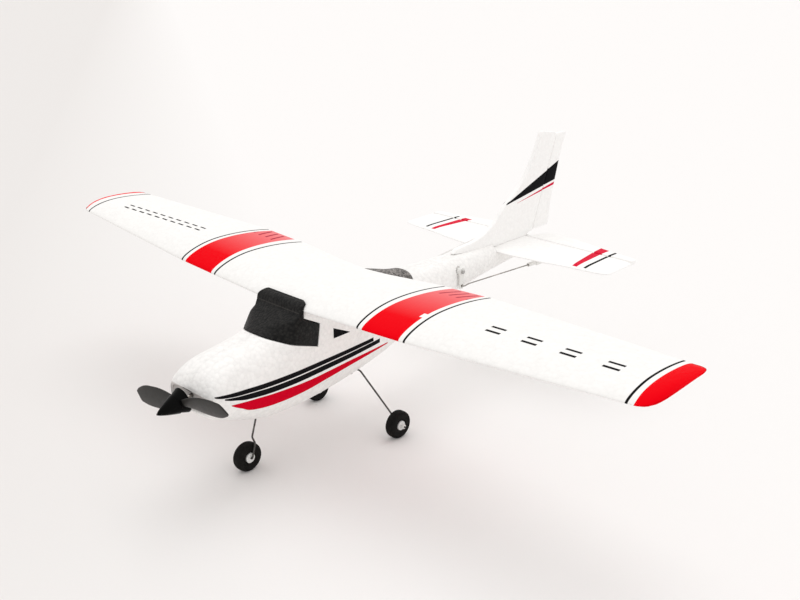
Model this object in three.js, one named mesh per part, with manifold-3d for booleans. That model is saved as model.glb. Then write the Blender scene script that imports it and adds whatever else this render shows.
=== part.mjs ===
// Small high-wing foam trainer airplane with a geared propeller, tricycle gear, elevator and rudder.
// Millimetres. +Z up, nose towards -Y, port wing towards +X. The tyres stand on z = 0, the symmetry
// plane is x = 0, and y = 0 is half way between the spinner tip and the end of the rudder.
import * as THREE from 'three';
import { mergeVertices } from 'three/addons/utils/BufferGeometryUtils.js';
import Module from 'manifold-3d';

const wasm = await Module();
wasm.setup();

// ---- driving dimensions ----
const GAP = 0.3; // room left where one piece is cut to clear another
const SEAM = 0.15; // half the glue line between the two fuselage shells
const RING_POINTS = 28; // points round one fuselage section
const ROUND = 16; // facets on small turned pieces

const HALF_SPAN = 250;
const PANEL_BREAK = 103; // half span where the outer panels start to taper
const TIP_LINE = 236; // half span where the tip cap starts
const ROOT_LEAD_Y = -104;
const ROOT_TRAIL_Y = -26;
const TIP_LEAD_Y = -96.3;
const TIP_TRAIL_Y = -40.2;
const LEAD_Z = 102.4; // leading edge height at the centre
const DIHEDRAL = 0.0505; // rise of the wing for each millimetre of half span

const WALL = 4.5; // foam thickness of the fuselage shells
const CAVITY_FRONT_Y = -170.3;
const CAVITY_REAR_Y = 66;
const CABIN_ROOF_Z = 97; // underside of the foam roof below the wing

const THRUST_ORIGIN = [0, -177.5, 65.2]; // centre of the spinner's base
const DOWN_THRUST = THREE.MathUtils.degToRad(9);
const SPINNER_LENGTH = 20.2;
const SPINNER_RADIUS = 8;
const HUB_LENGTH = 7.2; // part of the cone that belongs to the propeller
const BLADE_TILT = THREE.MathUtils.degToRad(13); // port blade above level when parked
const BLADE_PLANE = -4.5;
const SHAFT_RADIUS = 1;
const RUNNING_CLEARANCE = 0.06;
const GEAR_MODULE = 0.4;
const SPUR_TEETH = 36;
const PINION_TEETH = 9;
const MOTOR_DROP = (GEAR_MODULE * (SPUR_TEETH + PINION_TEETH)) / 2 + 0.12;
const MOTOR_RADIUS = 4.25;

const TYRE_RADIUS = 9.6;
const TYRE_SIDES = 24;
const AXLE_Z = TYRE_RADIUS * Math.cos(Math.PI / TYRE_SIDES); // puts a tread facet flat on the ground
const NOSE_WHEEL_Y = -136.8;
const MAIN_WHEEL_Y = -41.5;
const MAIN_WHEEL_X = 40;
const WIRE_RADIUS = 0.6;

const STAB_MID_Z = 88.3;
const FIN_HALF = 2;
const ELEVATOR_HINGE_Y = 149;
const ELEVATOR_HORN_LENGTH = 17;
const ELEVATOR_ARM_LENGTH = 11;
const ELEVATOR_LINK_X = 15.5;
const ELEVATOR_SERVO_Y = 52;
const RUDDER_LEAN = THREE.MathUtils.degToRad(20); // the hinge line leans back with the fin
const RUDDER_HINGE_BASE = [0, 157, 93.3]; // foot of the rudder's hinge line
const RUDDER_ARM_LENGTH = 12;
const RUDDER_SERVO_AXIS = [-5.5, 40, 88]; // centre of the rudder servo's arm
const ROD_RADIUS = 0.5;

const HATCH_HALF_WIDTH = 13.2;
const HATCH_FRONT_Y = -115.7;
const HATCH_REAR_Y = -66.3;
const HATCH_INNER_Z = 46.8;
const TRAY = { half: 13.6, flange: 16, front: -115, rear: -67, low: 47.2, high: 61.4 };

// Fuselage sections: station y, keel z, crown z, half width, height of the widest point, and how
// square the upper and lower halves are (2 is an ellipse).
const BODY = [
  [-174.5, 56, 70.8, 19.8, 63, 4, 2.8],
  [-173, 54.5, 73.8, 20.4, 63, 3.8, 2.8],
  [-170, 52, 78, 20.8, 63, 3.5, 2.7],
  [-165, 49.5, 82.3, 21.2, 63, 3.2, 2.6],
  [-158, 46.3, 85.4, 21.6, 62.5, 3, 2.6],
  [-148, 42.3, 87.2, 21.9, 62, 2.9, 2.6],
  [-138, 38.8, 88.5, 22.1, 62, 2.8, 2.6],
  [-127.5, 36.6, 90, 22.3, 62, 2.7, 2.6],
  [-122, 36.2, 92.6, 22.4, 62.2, 2.7, 2.6],
  [-116, 36, 95.6, 22.5, 62.5, 3.3, 2.6],
  [-110, 36, 98.8, 22.6, 62.8, 6.5, 2.6],
  [-105.5, 36, 101.6, 22.6, 63, 8, 2.6],
  [-103, 36, 103.8, 22.6, 63, 8, 2.6],
  [-97, 36.3, 107, 22.6, 63, 7, 2.6],
  [-78, 38, 108.5, 22.4, 64, 6, 2.6],
  [-51, 42, 107.5, 21.6, 66, 4, 2.6],
  [-26, 47, 104.9, 20, 69, 3, 2.6],
  [-19, 49, 103.3, 19.3, 70, 2.8, 2.6],
  [-2, 53.5, 98.8, 17.8, 73, 2.7, 2.6],
  [12, 57.5, 97, 16.5, 75, 2.6, 2.5],
  [45, 66, 95.8, 14, 80, 2.6, 2.4],
  [75, 70.5, 94.2, 11, 82.5, 2.5, 2.3],
  [102, 73, 93, 8.3, 83.5, 2.4, 2.2],
  [150, 76.5, 91, 4.5, 84.5, 2.2, 2.1],
].map(([y, keel, crown, half, waist, topPower, keelPower]) => (
  { y, keel, crown, half, waist, topPower, keelPower }
));

// ---- finishes ----
const finish = (color, roughness, metalness = 0) => (
  new THREE.MeshStandardMaterial({ color, roughness, metalness })
);
const whiteFoam = () => finish(0xf4f3ef, 0.8);
const blackFoam = () => finish(0x151515, 0.75);
const greyFoam = () => finish(0x4c4946, 0.8);
const blackPlastic = () => finish(0x1b1c1e, 0.35);
const whitePlastic = () => finish(0xeceae4, 0.4);
const steelWire = () => finish(0x4a4745, 0.35, 0.9);
const brass = () => finish(0xb89a5a, 0.3, 0.9);
const leadWire = (color) => finish(color, 0.5);

// ---- solid and mesh helpers ----
const lerp = THREE.MathUtils.lerp;
const clamp01 = (t) => THREE.MathUtils.clamp(t, 0, 1);

function toSolid(geometry) {
  const bare = geometry.clone();
  bare.deleteAttribute('normal');
  bare.deleteAttribute('uv');
  const merged = mergeVertices(bare, 1e-4);
  return new wasm.Manifold(new wasm.Mesh({
    numProp: 3,
    vertProperties: new Float32Array(merged.attributes.position.array),
    triVerts: new Uint32Array(merged.index.array),
  }));
}

function toGeometry(solid) {
  const mesh = solid.getMesh();
  const geometry = new THREE.BufferGeometry();
  geometry.setAttribute('position', new THREE.BufferAttribute(mesh.vertProperties, 3));
  geometry.setIndex(new THREE.BufferAttribute(mesh.triVerts, 1));
  geometry.computeVertexNormals();
  return geometry;
}

const join = (...geometries) => geometries.map(toSolid).reduce((sum, next) => sum.add(next));

// Skins a row of closed rings that follow each other along +X or +Y, and closes both ends.
function loft(rings, axis) {
  const flat = axis === 'x' ? (p) => [p.y, p.z] : (p) => [p.z, p.x];
  const contour = rings[0].map((p) => new THREE.Vector2(...flat(p)));
  const turned = THREE.ShapeUtils.isClockWise(contour);
  const rows = rings.map((ring) => (turned ? [...ring].reverse() : ring));
  const count = rows[0].length;
  const index = [];
  for (let row = 0; row + 1 < rows.length; row += 1) {
    for (let i = 0; i < count; i += 1) {
      const a = row * count + i;
      const b = row * count + ((i + 1) % count);
      index.push(a, b, b + count, a, b + count, a + count);
    }
  }
  const cap = (row) => THREE.ShapeUtils.triangulateShape(
    rows[row].map((p) => new THREE.Vector2(...flat(p))), [],
  );
  const last = rows.length - 1;
  for (const [a, b, c] of cap(0)) index.push(a, c, b);
  for (const corner of cap(last).flat()) index.push(last * count + corner);
  const geometry = new THREE.BufferGeometry().setFromPoints(rows.flat());
  geometry.setIndex(index);
  return geometry;
}

// A straight prism. The outline is (y, z) along x, (x, z) along y, or (x, y) along z.
function prism(outline, axis, low, high) {
  const shape = new THREE.Shape(outline.map(([u, v]) => new THREE.Vector2(u, v)));
  const geometry = new THREE.ExtrudeGeometry(shape, { depth: high - low, bevelEnabled: false });
  const [x, y, z] = [[1, 0, 0], [0, 1, 0], [0, 0, 1]].map((v) => new THREE.Vector3(...v));
  const turn = new THREE.Matrix4();
  if (axis === 'x') turn.makeBasis(y, z, x).setPosition(low, 0, 0);
  if (axis === 'y') turn.makeBasis(x, z, y.clone().negate()).setPosition(0, high, 0);
  if (axis === 'z') turn.setPosition(0, 0, low);
  return geometry.applyMatrix4(turn);
}

function block(x0, x1, y0, y1, z0, z1) {
  const geometry = new THREE.BoxGeometry(x1 - x0, y1 - y0, z1 - z0);
  return geometry.translate((x0 + x1) / 2, (y0 + y1) / 2, (z0 + z1) / 2);
}

function rod(from, to, radius, sides = ROUND) {
  const a = new THREE.Vector3(...from);
  const b = new THREE.Vector3(...to);
  const geometry = new THREE.CylinderGeometry(radius, radius, a.distanceTo(b), sides);
  const up = new THREE.Vector3(0, 1, 0);
  geometry.applyQuaternion(new THREE.Quaternion().setFromUnitVectors(up, b.clone().sub(a).normalize()));
  const middle = a.add(b).multiplyScalar(0.5);
  return geometry.translate(middle.x, middle.y, middle.z);
}

// A ring or disc turned about an axis through the origin. The profile is (radius, place) pairs.
function turned(profile, axis, sides = ROUND, start = 0) {
  const points = profile.map(([radius, place]) => new THREE.Vector2(radius, place));
  const geometry = new THREE.LatheGeometry(points, sides, start);
  if (axis === 'x') geometry.rotateZ(-Math.PI / 2);
  return geometry;
}

function sleeve(innerRadius, outerRadius, low, high, axis, sides = ROUND) {
  const profile = [
    [innerRadius, low], [outerRadius, low], [outerRadius, high], [innerRadius, high], [innerRadius, low],
  ];
  return turned(profile, axis, sides);
}

// A round wire through the given points, with its corners bent over a radius.
function wire(points, radius, { bend = 2, steps = 30, sides = 6 } = {}) {
  const corners = points.map((p) => new THREE.Vector3(...p));
  const path = new THREE.CurvePath();
  let from = corners[0];
  for (let i = 1; i + 1 < corners.length; i += 1) {
    const corner = corners[i];
    const back = corners[i - 1].clone().sub(corner).setLength(bend).add(corner);
    const ahead = corners[i + 1].clone().sub(corner).setLength(bend).add(corner);
    path.add(new THREE.LineCurve3(from, back));
    path.add(new THREE.QuadraticBezierCurve3(back, corner, ahead));
    from = ahead;
  }
  path.add(new THREE.LineCurve3(from, corners[corners.length - 1]));
  const section = new THREE.Shape();
  for (let i = 0; i < sides; i += 1) {
    const angle = (2 * Math.PI * i) / sides;
    const method = i === 0 ? 'moveTo' : 'lineTo';
    section[method](radius * Math.cos(angle), radius * Math.sin(angle));
  }
  return new THREE.ExtrudeGeometry(section, { extrudePath: path, steps });
}

const model = new THREE.Group();

function place(name, shape, material, parent = model) {
  const geometry = shape instanceof THREE.BufferGeometry ? shape : toGeometry(shape);
  const mesh = new THREE.Mesh(geometry, material);
  mesh.name = name;
  parent.add(mesh);
  return mesh;
}

// ---- fuselage ----
const power = (value, exponent) => Math.sign(value) * Math.abs(value) ** exponent;

function bodyRing(section, inset = 0, ceiling = Infinity) {
  return Array.from({ length: RING_POINTS }, (_, i) => {
    const angle = (2 * Math.PI * i) / RING_POINTS;
    const upper = Math.sin(angle) >= 0;
    const squareness = upper ? section.topPower : section.keelPower;
    const top = Math.min(section.crown - inset, ceiling);
    const height = upper ? top - section.waist : section.waist - section.keel - inset;
    return new THREE.Vector3(
      (section.half - inset) * power(Math.cos(angle), 2 / squareness),
      section.y,
      section.waist + height * power(Math.sin(angle), 2 / squareness),
    );
  });
}

function sectionAt(y) {
  const after = BODY.findIndex((section) => section.y >= y);
  const [a, b] = [BODY[Math.max(after - 1, 0)], BODY[after]];
  const t = b.y === a.y ? 0 : (y - a.y) / (b.y - a.y);
  const mixed = Object.fromEntries(Object.keys(b).map((key) => [key, lerp(a[key], b[key], t)]));
  return { ...mixed, y };
}

function hollowRings(inset) {
  const stations = BODY.map((section) => section.y);
  const inside = stations.filter((y) => y > CAVITY_FRONT_Y && y < CAVITY_REAR_Y);
  return [CAVITY_FRONT_Y, ...inside, CAVITY_REAR_Y].map((y) => (
    bodyRing(sectionAt(y), inset, CABIN_ROOF_Z)
  ));
}

const bodySolid = toSolid(loft(BODY.map((section) => bodyRing(section)), 'y'));
const cavitySolid = toSolid(loft(hollowRings(WALL), 'y'));

// ---- wing ----
function wingChord(x) {
  const span = Math.abs(x);
  const taper = clamp01((span - PANEL_BREAK) / (TIP_LINE - PANEL_BREAK));
  return {
    leadY: lerp(ROOT_LEAD_Y, TIP_LEAD_Y, taper),
    trailY: lerp(ROOT_TRAIL_Y, TIP_TRAIL_Y, taper),
    leadZ: LEAD_Z + DIHEDRAL * span,
    rise: lerp(3.6, 2.3, taper), // trailing edge above leading edge
    camber: lerp(0.05, 0.042, taper),
    thickness: lerp(0.088, 0.085, taper),
  };
}

const CAMBER_PEAK = 0.4;
const CHORD_STEPS = [0, 0.012, 0.05, 0.12, 0.22, 0.36, 0.52, 0.7, 0.86, 1];

function camberAt(u, camber) {
  if (u < CAMBER_PEAK) return (camber / CAMBER_PEAK ** 2) * (2 * CAMBER_PEAK * u - u * u);
  return (camber / (1 - CAMBER_PEAK) ** 2) * (1 - 2 * CAMBER_PEAK + 2 * CAMBER_PEAK * u - u * u);
}

// Half thickness of a rounded-nose section that ends in a blunt, thin trailing edge.
function halfThickness(u, thickness) {
  const shape = 0.2969 * Math.sqrt(u) - 0.126 * u - 0.3516 * u ** 2 + 0.2843 * u ** 3 - 0.1015 * u ** 4;
  return 5 * thickness * shape + 0.009 * u;
}

// One wing section. grow swells it all round, and rise lifts its whole upper side.
function wingRing(x, grow = 0, rise = 0) {
  const c = wingChord(x);
  const chord = c.trailY - c.leadY;
  const at = (u, side) => new THREE.Vector3(
    x,
    lerp(c.leadY - grow, c.trailY + grow, u),
    c.leadZ + c.rise * u + chord * (camberAt(u, c.camber) + side * halfThickness(u, c.thickness))
      + side * grow + (side > 0 ? rise : 0),
  );
  const upper = CHORD_STEPS.map((u) => at(u, 1));
  const lower = CHORD_STEPS.slice(grow > 0 ? 0 : 1).map((u) => at(u, -1)).reverse();
  return [...upper, ...lower];
}

function wingSlot(rise) {
  const reach = 30;
  return toSolid(loft([-reach, 0, reach].map((x) => wingRing(x, GAP, rise)), 'x'));
}

function wingOutline() {
  const tipCurve = [
    [TIP_LINE, -97], [241, -95.6], [244.5, -91.5], [247.5, -85], [249.2, -76],
    [HALF_SPAN, -64], [HALF_SPAN, -49.5], [247.5, -45],
  ];
  const port = [
    [0, -110], [PANEL_BREAK, -110], ...tipCurve, [TIP_LINE, -30], [PANEL_BREAK, -20], [0, -20],
  ];
  return [...port, ...port.slice(1, -1).reverse().map(([x, y]) => [-x, y])];
}

function makeWing() {
  const stations = [PANEL_BREAK, TIP_LINE, HALF_SPAN + 1];
  const across = [...stations.map((x) => -x).reverse(), 0, ...stations];
  const panel = toSolid(loft(across.map((x) => wingRing(x)), 'x'));
  return panel.intersect(toSolid(prism(wingOutline(), 'z', 80, 140)));
}

// ---- windshield block, rear window and hatch, all cut from the fuselage's own surface ----
function canopyZone(grow) {
  return toSolid(prism([
    [-130 - grow, 91.3 - grow], [-114.7, 85.1 - grow], [-94.8 + grow, 78 - grow],
    [-92.4 + grow, 92.3 + grow], [-104.3 + grow, 98.6 + grow], [-104.3 + grow, 120],
    [-130 - grow, 120],
  ], 'x', -40, 40));
}

// The top of the windshield ends in a thin lip that laps over the wing's leading edge.
const LIP_GROW = 1.3;
const LIP_OUTLINE = [
  [-20, -107], [-20, -102.8], [-18.8, -101], [-16.5, -99.9], [-13, -99.5],
  [13, -99.5], [16.5, -99.9], [18.8, -101], [20, -102.8], [20, -107],
];

function makeCanopy() {
  const lipShape = toSolid(loft([-30, 0, 30].map((x) => wingRing(x, LIP_GROW)), 'x'))
    .intersect(toSolid(prism(LIP_OUTLINE, 'z', 101.5, 130)))
    .subtract(toSolid(block(-30, 30, -104.3, -80, 95, LEAD_Z + 0.6)));
  return bodySolid.intersect(canopyZone(0))
    .subtract(toSolid(block(-40, 40, -105, -80, 101.5, 130)))
    .add(lipShape)
    .subtract(wingSlot(0))
    .subtract(cavitySolid);
}

const WINDOW_DEPTH = 2;
const windowOutline = (grow) => [
  [-15 - grow, -19.5 - grow], [15 + grow, -19.5 - grow], [15 + grow, -9], [12 + grow, 3],
  [7, 11 + grow], [-7, 11 + grow], [-12 - grow, 3], [-15 - grow, -9],
];

function shellLayer(depth) {
  return bodySolid.subtract(toSolid(loft(BODY.map((section) => bodyRing(section, depth)), 'y')));
}

function windowZone(grow) {
  return toSolid(prism(windowOutline(grow), 'z', 85, 120));
}

function hatchZone(grow) {
  const half = HATCH_HALF_WIDTH + grow;
  return toSolid(block(-half, half, HATCH_FRONT_Y - grow, HATCH_REAR_Y + grow, 20, 52));
}

// ---- servo, gear and nose openings in the shells ----
const KEEL_BLOCK = { half: 5, front: -133.5, rear: -123.5, low: 37, high: 47 };
const GEAR_SCREW_X = [-9, 9];
const GEAR_SCREW_Y = -54.6;
const GEAR_PLATE = { half: 13, front: -57, rear: -45, low: 42.3, high: 45.2 };

function thrustTool(geometry) {
  return toSolid(geometry.rotateX(DOWN_THRUST).translate(...THRUST_ORIGIN));
}

function leaningTool(geometry, origin) {
  return toSolid(geometry.rotateX(-RUDDER_LEAN).translate(...origin));
}

// Room for a plate or block set into the foam, open below down to the given height.
function pocket({ half, front, rear, high }, low) {
  return toSolid(block(-half - GAP, half + GAP, front - GAP, rear + GAP, low, high + GAP));
}

function shellCuts() {
  const servoY = ELEVATOR_SERVO_Y;
  const [armX, armY, armZ] = RUDDER_SERVO_AXIS;
  return [
    cavitySolid,
    canopyZone(GAP),
    wingSlot(15),
    shellLayer(WINDOW_DEPTH + GAP).intersect(windowZone(GAP)),
    hatchZone(GAP),
    thrustTool(rod([0, -2, 0], [0, 12, 0], 3.6)),
    thrustTool(block(-9.9, 9.9, 7.7, 21.7, -9.5, 6.5)),
    pocket({ ...TRAY, high: TRAY.high - GAP }, TRAY.low),
    ...GEAR_SCREW_X.map((x) => toSolid(rod([x, GEAR_SCREW_Y, 40], [x, GEAR_SCREW_Y, 52], 1))),
    pocket(KEEL_BLOCK, 30),
    pocket(GEAR_PLATE, 30),
    toSolid(block(-20, 20, -52.2, -49.8, 30, GEAR_PLATE.high + GAP)),
    toSolid(block(-7.5, 9.9, servoY - 4.1, servoY + 4.1, 72.6, 91.4)),
    toSolid(rod([9, servoY, 87.5], [20, servoY, 87.5], 3.4)),
    toSolid(block(armX - 14, armX + 3.5, armY - 8, armY + 8, armZ - 4.5, armZ + 3.4)),
    leaningTool(block(-4.3, 4.3, -14.3, 4.3, -18.8, 3.2), RUDDER_SERVO_AXIS),
    toSolid(block(-20, 20, 101.5, 160, STAB_MID_Z - 2.1, 120)),
    toSolid(block(-20, 20, ELEVATOR_HINGE_Y - 0.7, 160, STAB_MID_Z - 3, 120)),
    toSolid(prism(finOutline(), 'x', -FIN_HALF - GAP, FIN_HALF + GAP)),
  ];
}

function buildFuselage() {
  const shell = shellCuts().reduce((left, cut) => left.subtract(cut), bodySolid);
  const half = (low, high) => shell.intersect(toSolid(block(low, high, -200, 200, 0, 140)));
  place('fuselage_left_shell', half(SEAM, 60), whiteFoam());
  place('fuselage_right_shell', half(-60, -SEAM), whiteFoam());
  place('windshield_canopy', makeCanopy(), blackFoam());
  place('rear_window', shellLayer(WINDOW_DEPTH).intersect(windowZone(0)), greyFoam());
  const hatch = bodySolid.subtract(cavitySolid).intersect(hatchZone(0));
  const aboveHatch = toSolid(block(-20, 20, -130, -50, HATCH_INNER_Z, 60));
  place('battery_hatch', hatch.subtract(aboveHatch), whiteFoam());
  place('wing', makeWing(), whiteFoam());
}

// ---- tail ----
function stabRing(x, leadY, trailY, half) {
  const mid = STAB_MID_Z;
  return [
    [leadY, mid], [leadY + 1.2, mid + half * 0.7], [leadY + 4, mid + half], [trailY, mid + half],
    [trailY, mid - half], [leadY + 4, mid - half], [leadY + 1.2, mid - half * 0.7],
  ].map(([y, z]) => new THREE.Vector3(x, y, z));
}

const STAB_LEAD = [[0, 103], [26, 103.6], [46, 106], [61, 109.2], [81, 111.4], [92, 113.2], [98.3, 119]];

function makeStabilizer() {
  const trailY = ELEVATOR_HINGE_Y - 0.7;
  const port = STAB_LEAD.map(([x, leadY]) => stabRing(x, leadY, trailY, lerp(1.8, 1.5, x / 98)));
  const starboard = port.slice(1).map((ring) => ring.map((p) => new THREE.Vector3(-p.x, p.y, p.z)));
  return loft([...starboard.reverse(), ...port], 'x');
}

function makeElevator() {
  const front = ELEVATOR_HINGE_Y + 0.7;
  const port = [
    [0, front], [97.2, front], [97, 154.5], [93, 158], [78, 159.9], [66, 162.4], [37, 169.5],
    [9.5, 170.6], [3, 154], [0, 153.6],
  ];
  const outline = [...port, ...port.slice(1, -1).reverse().map(([x, y]) => [-x, y])];
  const taper = prism([
    [front, STAB_MID_Z - 1.3], [front + 0.8, STAB_MID_Z - 1.7], [171, STAB_MID_Z - 0.6],
    [171, STAB_MID_Z + 0.6], [front + 0.8, STAB_MID_Z + 1.7], [front, STAB_MID_Z + 1.3],
  ], 'x', -100, 100);
  return toSolid(taper).intersect(toSolid(prism(outline, 'z', 80, 100)));
}

const hingeY = (z) => RUDDER_HINGE_BASE[1] + (z - RUDDER_HINGE_BASE[2]) * Math.tan(RUDDER_LEAN);

function finOutline() {
  const top = 166.9;
  const foot = STAB_MID_Z + 2.1;
  return [
    [58, 95.8], [62.4, 99.2], [80, 99.4], [97.5, 103.8], [108.5, 109.8], [120, 120.4], [129.7, 125.9],
    [139.5, 132.9], [147.8, 143.1], [154.8, 153.8], [160.5, 164.8], [162.2, 169.3], [164.6, 171.3],
    [hingeY(top) - 3, 168.4], [hingeY(top) - 1, top],
    // The foot is cut away over the elevator so that it can rise.
    [hingeY(foot + 1.8) - 1, foot + 1.8], [152.6, foot + 1.8], [148.2, foot],
    [101.2, foot], [101.2, 91.8], [75, 93],
  ];
}

function makeRudder() {
  const outline = [
    [hingeY(92.8) + 0.7, 92.8], [hingeY(166.8) + 0.7, 166.8], [195.6, 166.9], [197.4, 165], [192.9, 156.5],
    [189.8, 145.8], [181.5, 115.8], [178.4, 92.8],
  ];
  return prism(outline, 'x', -1.7, 1.7);
}

function buildTail() {
  place('horizontal_stabilizer', makeStabilizer(), whiteFoam());
  place('vertical_fin', prism(finOutline(), 'x', -FIN_HALF, FIN_HALF), whiteFoam());
  place('elevator', makeElevator(), whiteFoam());
  place('rudder', makeRudder(), whiteFoam());
}

// ---- elevator linkage, on the port side ----
function buildElevatorLinkage() {
  const pinY = ELEVATOR_HINGE_Y;
  const pinZ = STAB_MID_Z - ELEVATOR_HORN_LENGTH;
  const x = ELEVATOR_LINK_X;
  const horn = toSolid(prism([
    [150.6, STAB_MID_Z - 2], [158, STAB_MID_Z - 2], [152, pinZ - 1.2], [150, pinZ - 2.2],
    [148, pinZ - 2.2], [146.8, pinZ - 1], [147, pinZ + 2.5],
  ], 'x', x - 0.7, x + 0.7));
  const foot = toSolid(block(x - 3.5, x + 3.5, 151, 158.5, STAB_MID_Z - 2.8, STAB_MID_Z - 2));
  const hornHole = toSolid(rod([x - 2, pinY, pinZ], [x + 2, pinY, pinZ], ROD_RADIUS + RUNNING_CLEARANCE));
  place('elevator_horn', horn.add(foot).subtract(hornHole), whitePlastic());

  const servoY = ELEVATOR_SERVO_Y;
  const servoZ = 87.5;
  const armPinZ = servoZ - ELEVATOR_ARM_LENGTH;
  const armX = 14.4;
  const arm = join(
    rod([armX - 1, servoY, servoZ], [armX + 1.8, servoY, servoZ], 2.8),
    prism([
      [servoY - 2.4, servoZ], [servoY - 1.9, armPinZ - 1], [servoY - 1, armPinZ - 2.2],
      [servoY + 1, armPinZ - 2.2], [servoY + 1.9, armPinZ - 1], [servoY + 2.4, servoZ],
    ], 'x', armX, armX + 1.4),
  );
  const armHole = toSolid(rod([armX - 2, servoY, armPinZ], [armX + 3, servoY, armPinZ], 1.25));
  const screwHole = toSolid(rod([armX - 3, servoY, servoZ], [armX + 3, servoY, servoZ], 0.9));
  place('elevator_servo_arm', arm.subtract(armHole).subtract(screwHole), whitePlastic());
  const screw = turned([[0, -3.4], [0.7, -3.4], [0.7, 0.3], [1.6, 0.3], [1.4, 1.2], [0, 1.3]], 'x', 12);
  place('elevator_arm_screw', screw, steelWire()).position.set(armX + 1.8, servoY, servoZ);

  const clevisFront = 134;
  const rodLine = (y) => lerp(armPinZ, pinZ, (y - servoY) / (pinY - servoY));
  place('elevator_pushrod', wire([
    [armX - 0.2, servoY, armPinZ], [armX + 3, servoY, armPinZ],
    [x, servoY + 9, rodLine(servoY + 9)], [x, clevisFront + 5, rodLine(clevisFront + 5)],
  ], ROD_RADIUS, { bend: 1.6, steps: 44 }), steelWire());

  const clevisBody = join(
    rod([x, clevisFront, rodLine(clevisFront)], [x, pinY - 5, rodLine(pinY - 5)], 1.6, 12),
    block(x - 2.2, x + 2.2, pinY - 6, pinY - 3.5, pinZ - 1.3, pinZ + 1.6),
    block(x - 2.2, x - 1.1, pinY - 6, pinY + 1.6, pinZ - 1.3, pinZ + 1.4),
    block(x + 1.1, x + 2.2, pinY - 6, pinY + 1.6, pinZ - 1.3, pinZ + 1.4),
    rod([x - 2, pinY, pinZ], [x + 2, pinY, pinZ], ROD_RADIUS),
  );
  const rodBore = toSolid(rod(
    [x, clevisFront - 1, rodLine(clevisFront - 1)], [x, clevisFront + 6, rodLine(clevisFront + 6)],
    ROD_RADIUS + GAP,
  ));
  place('elevator_clevis', clevisBody.subtract(rodBore), whitePlastic());

  const servoCase = join(
    block(-7, 9.5, servoY - 3.7, servoY + 3.7, 73, 91),
    rod([9, servoY, servoZ], [11.2, servoY, servoZ], 3),
    rod([9, servoY, servoZ], [12.6, servoY, servoZ], 1.9),
  );
  const splineBore = toSolid(rod([10, servoY, servoZ], [14, servoY, servoZ], 1));
  place('elevator_servo_case', servoCase.subtract(splineBore), blackPlastic());
}

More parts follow.
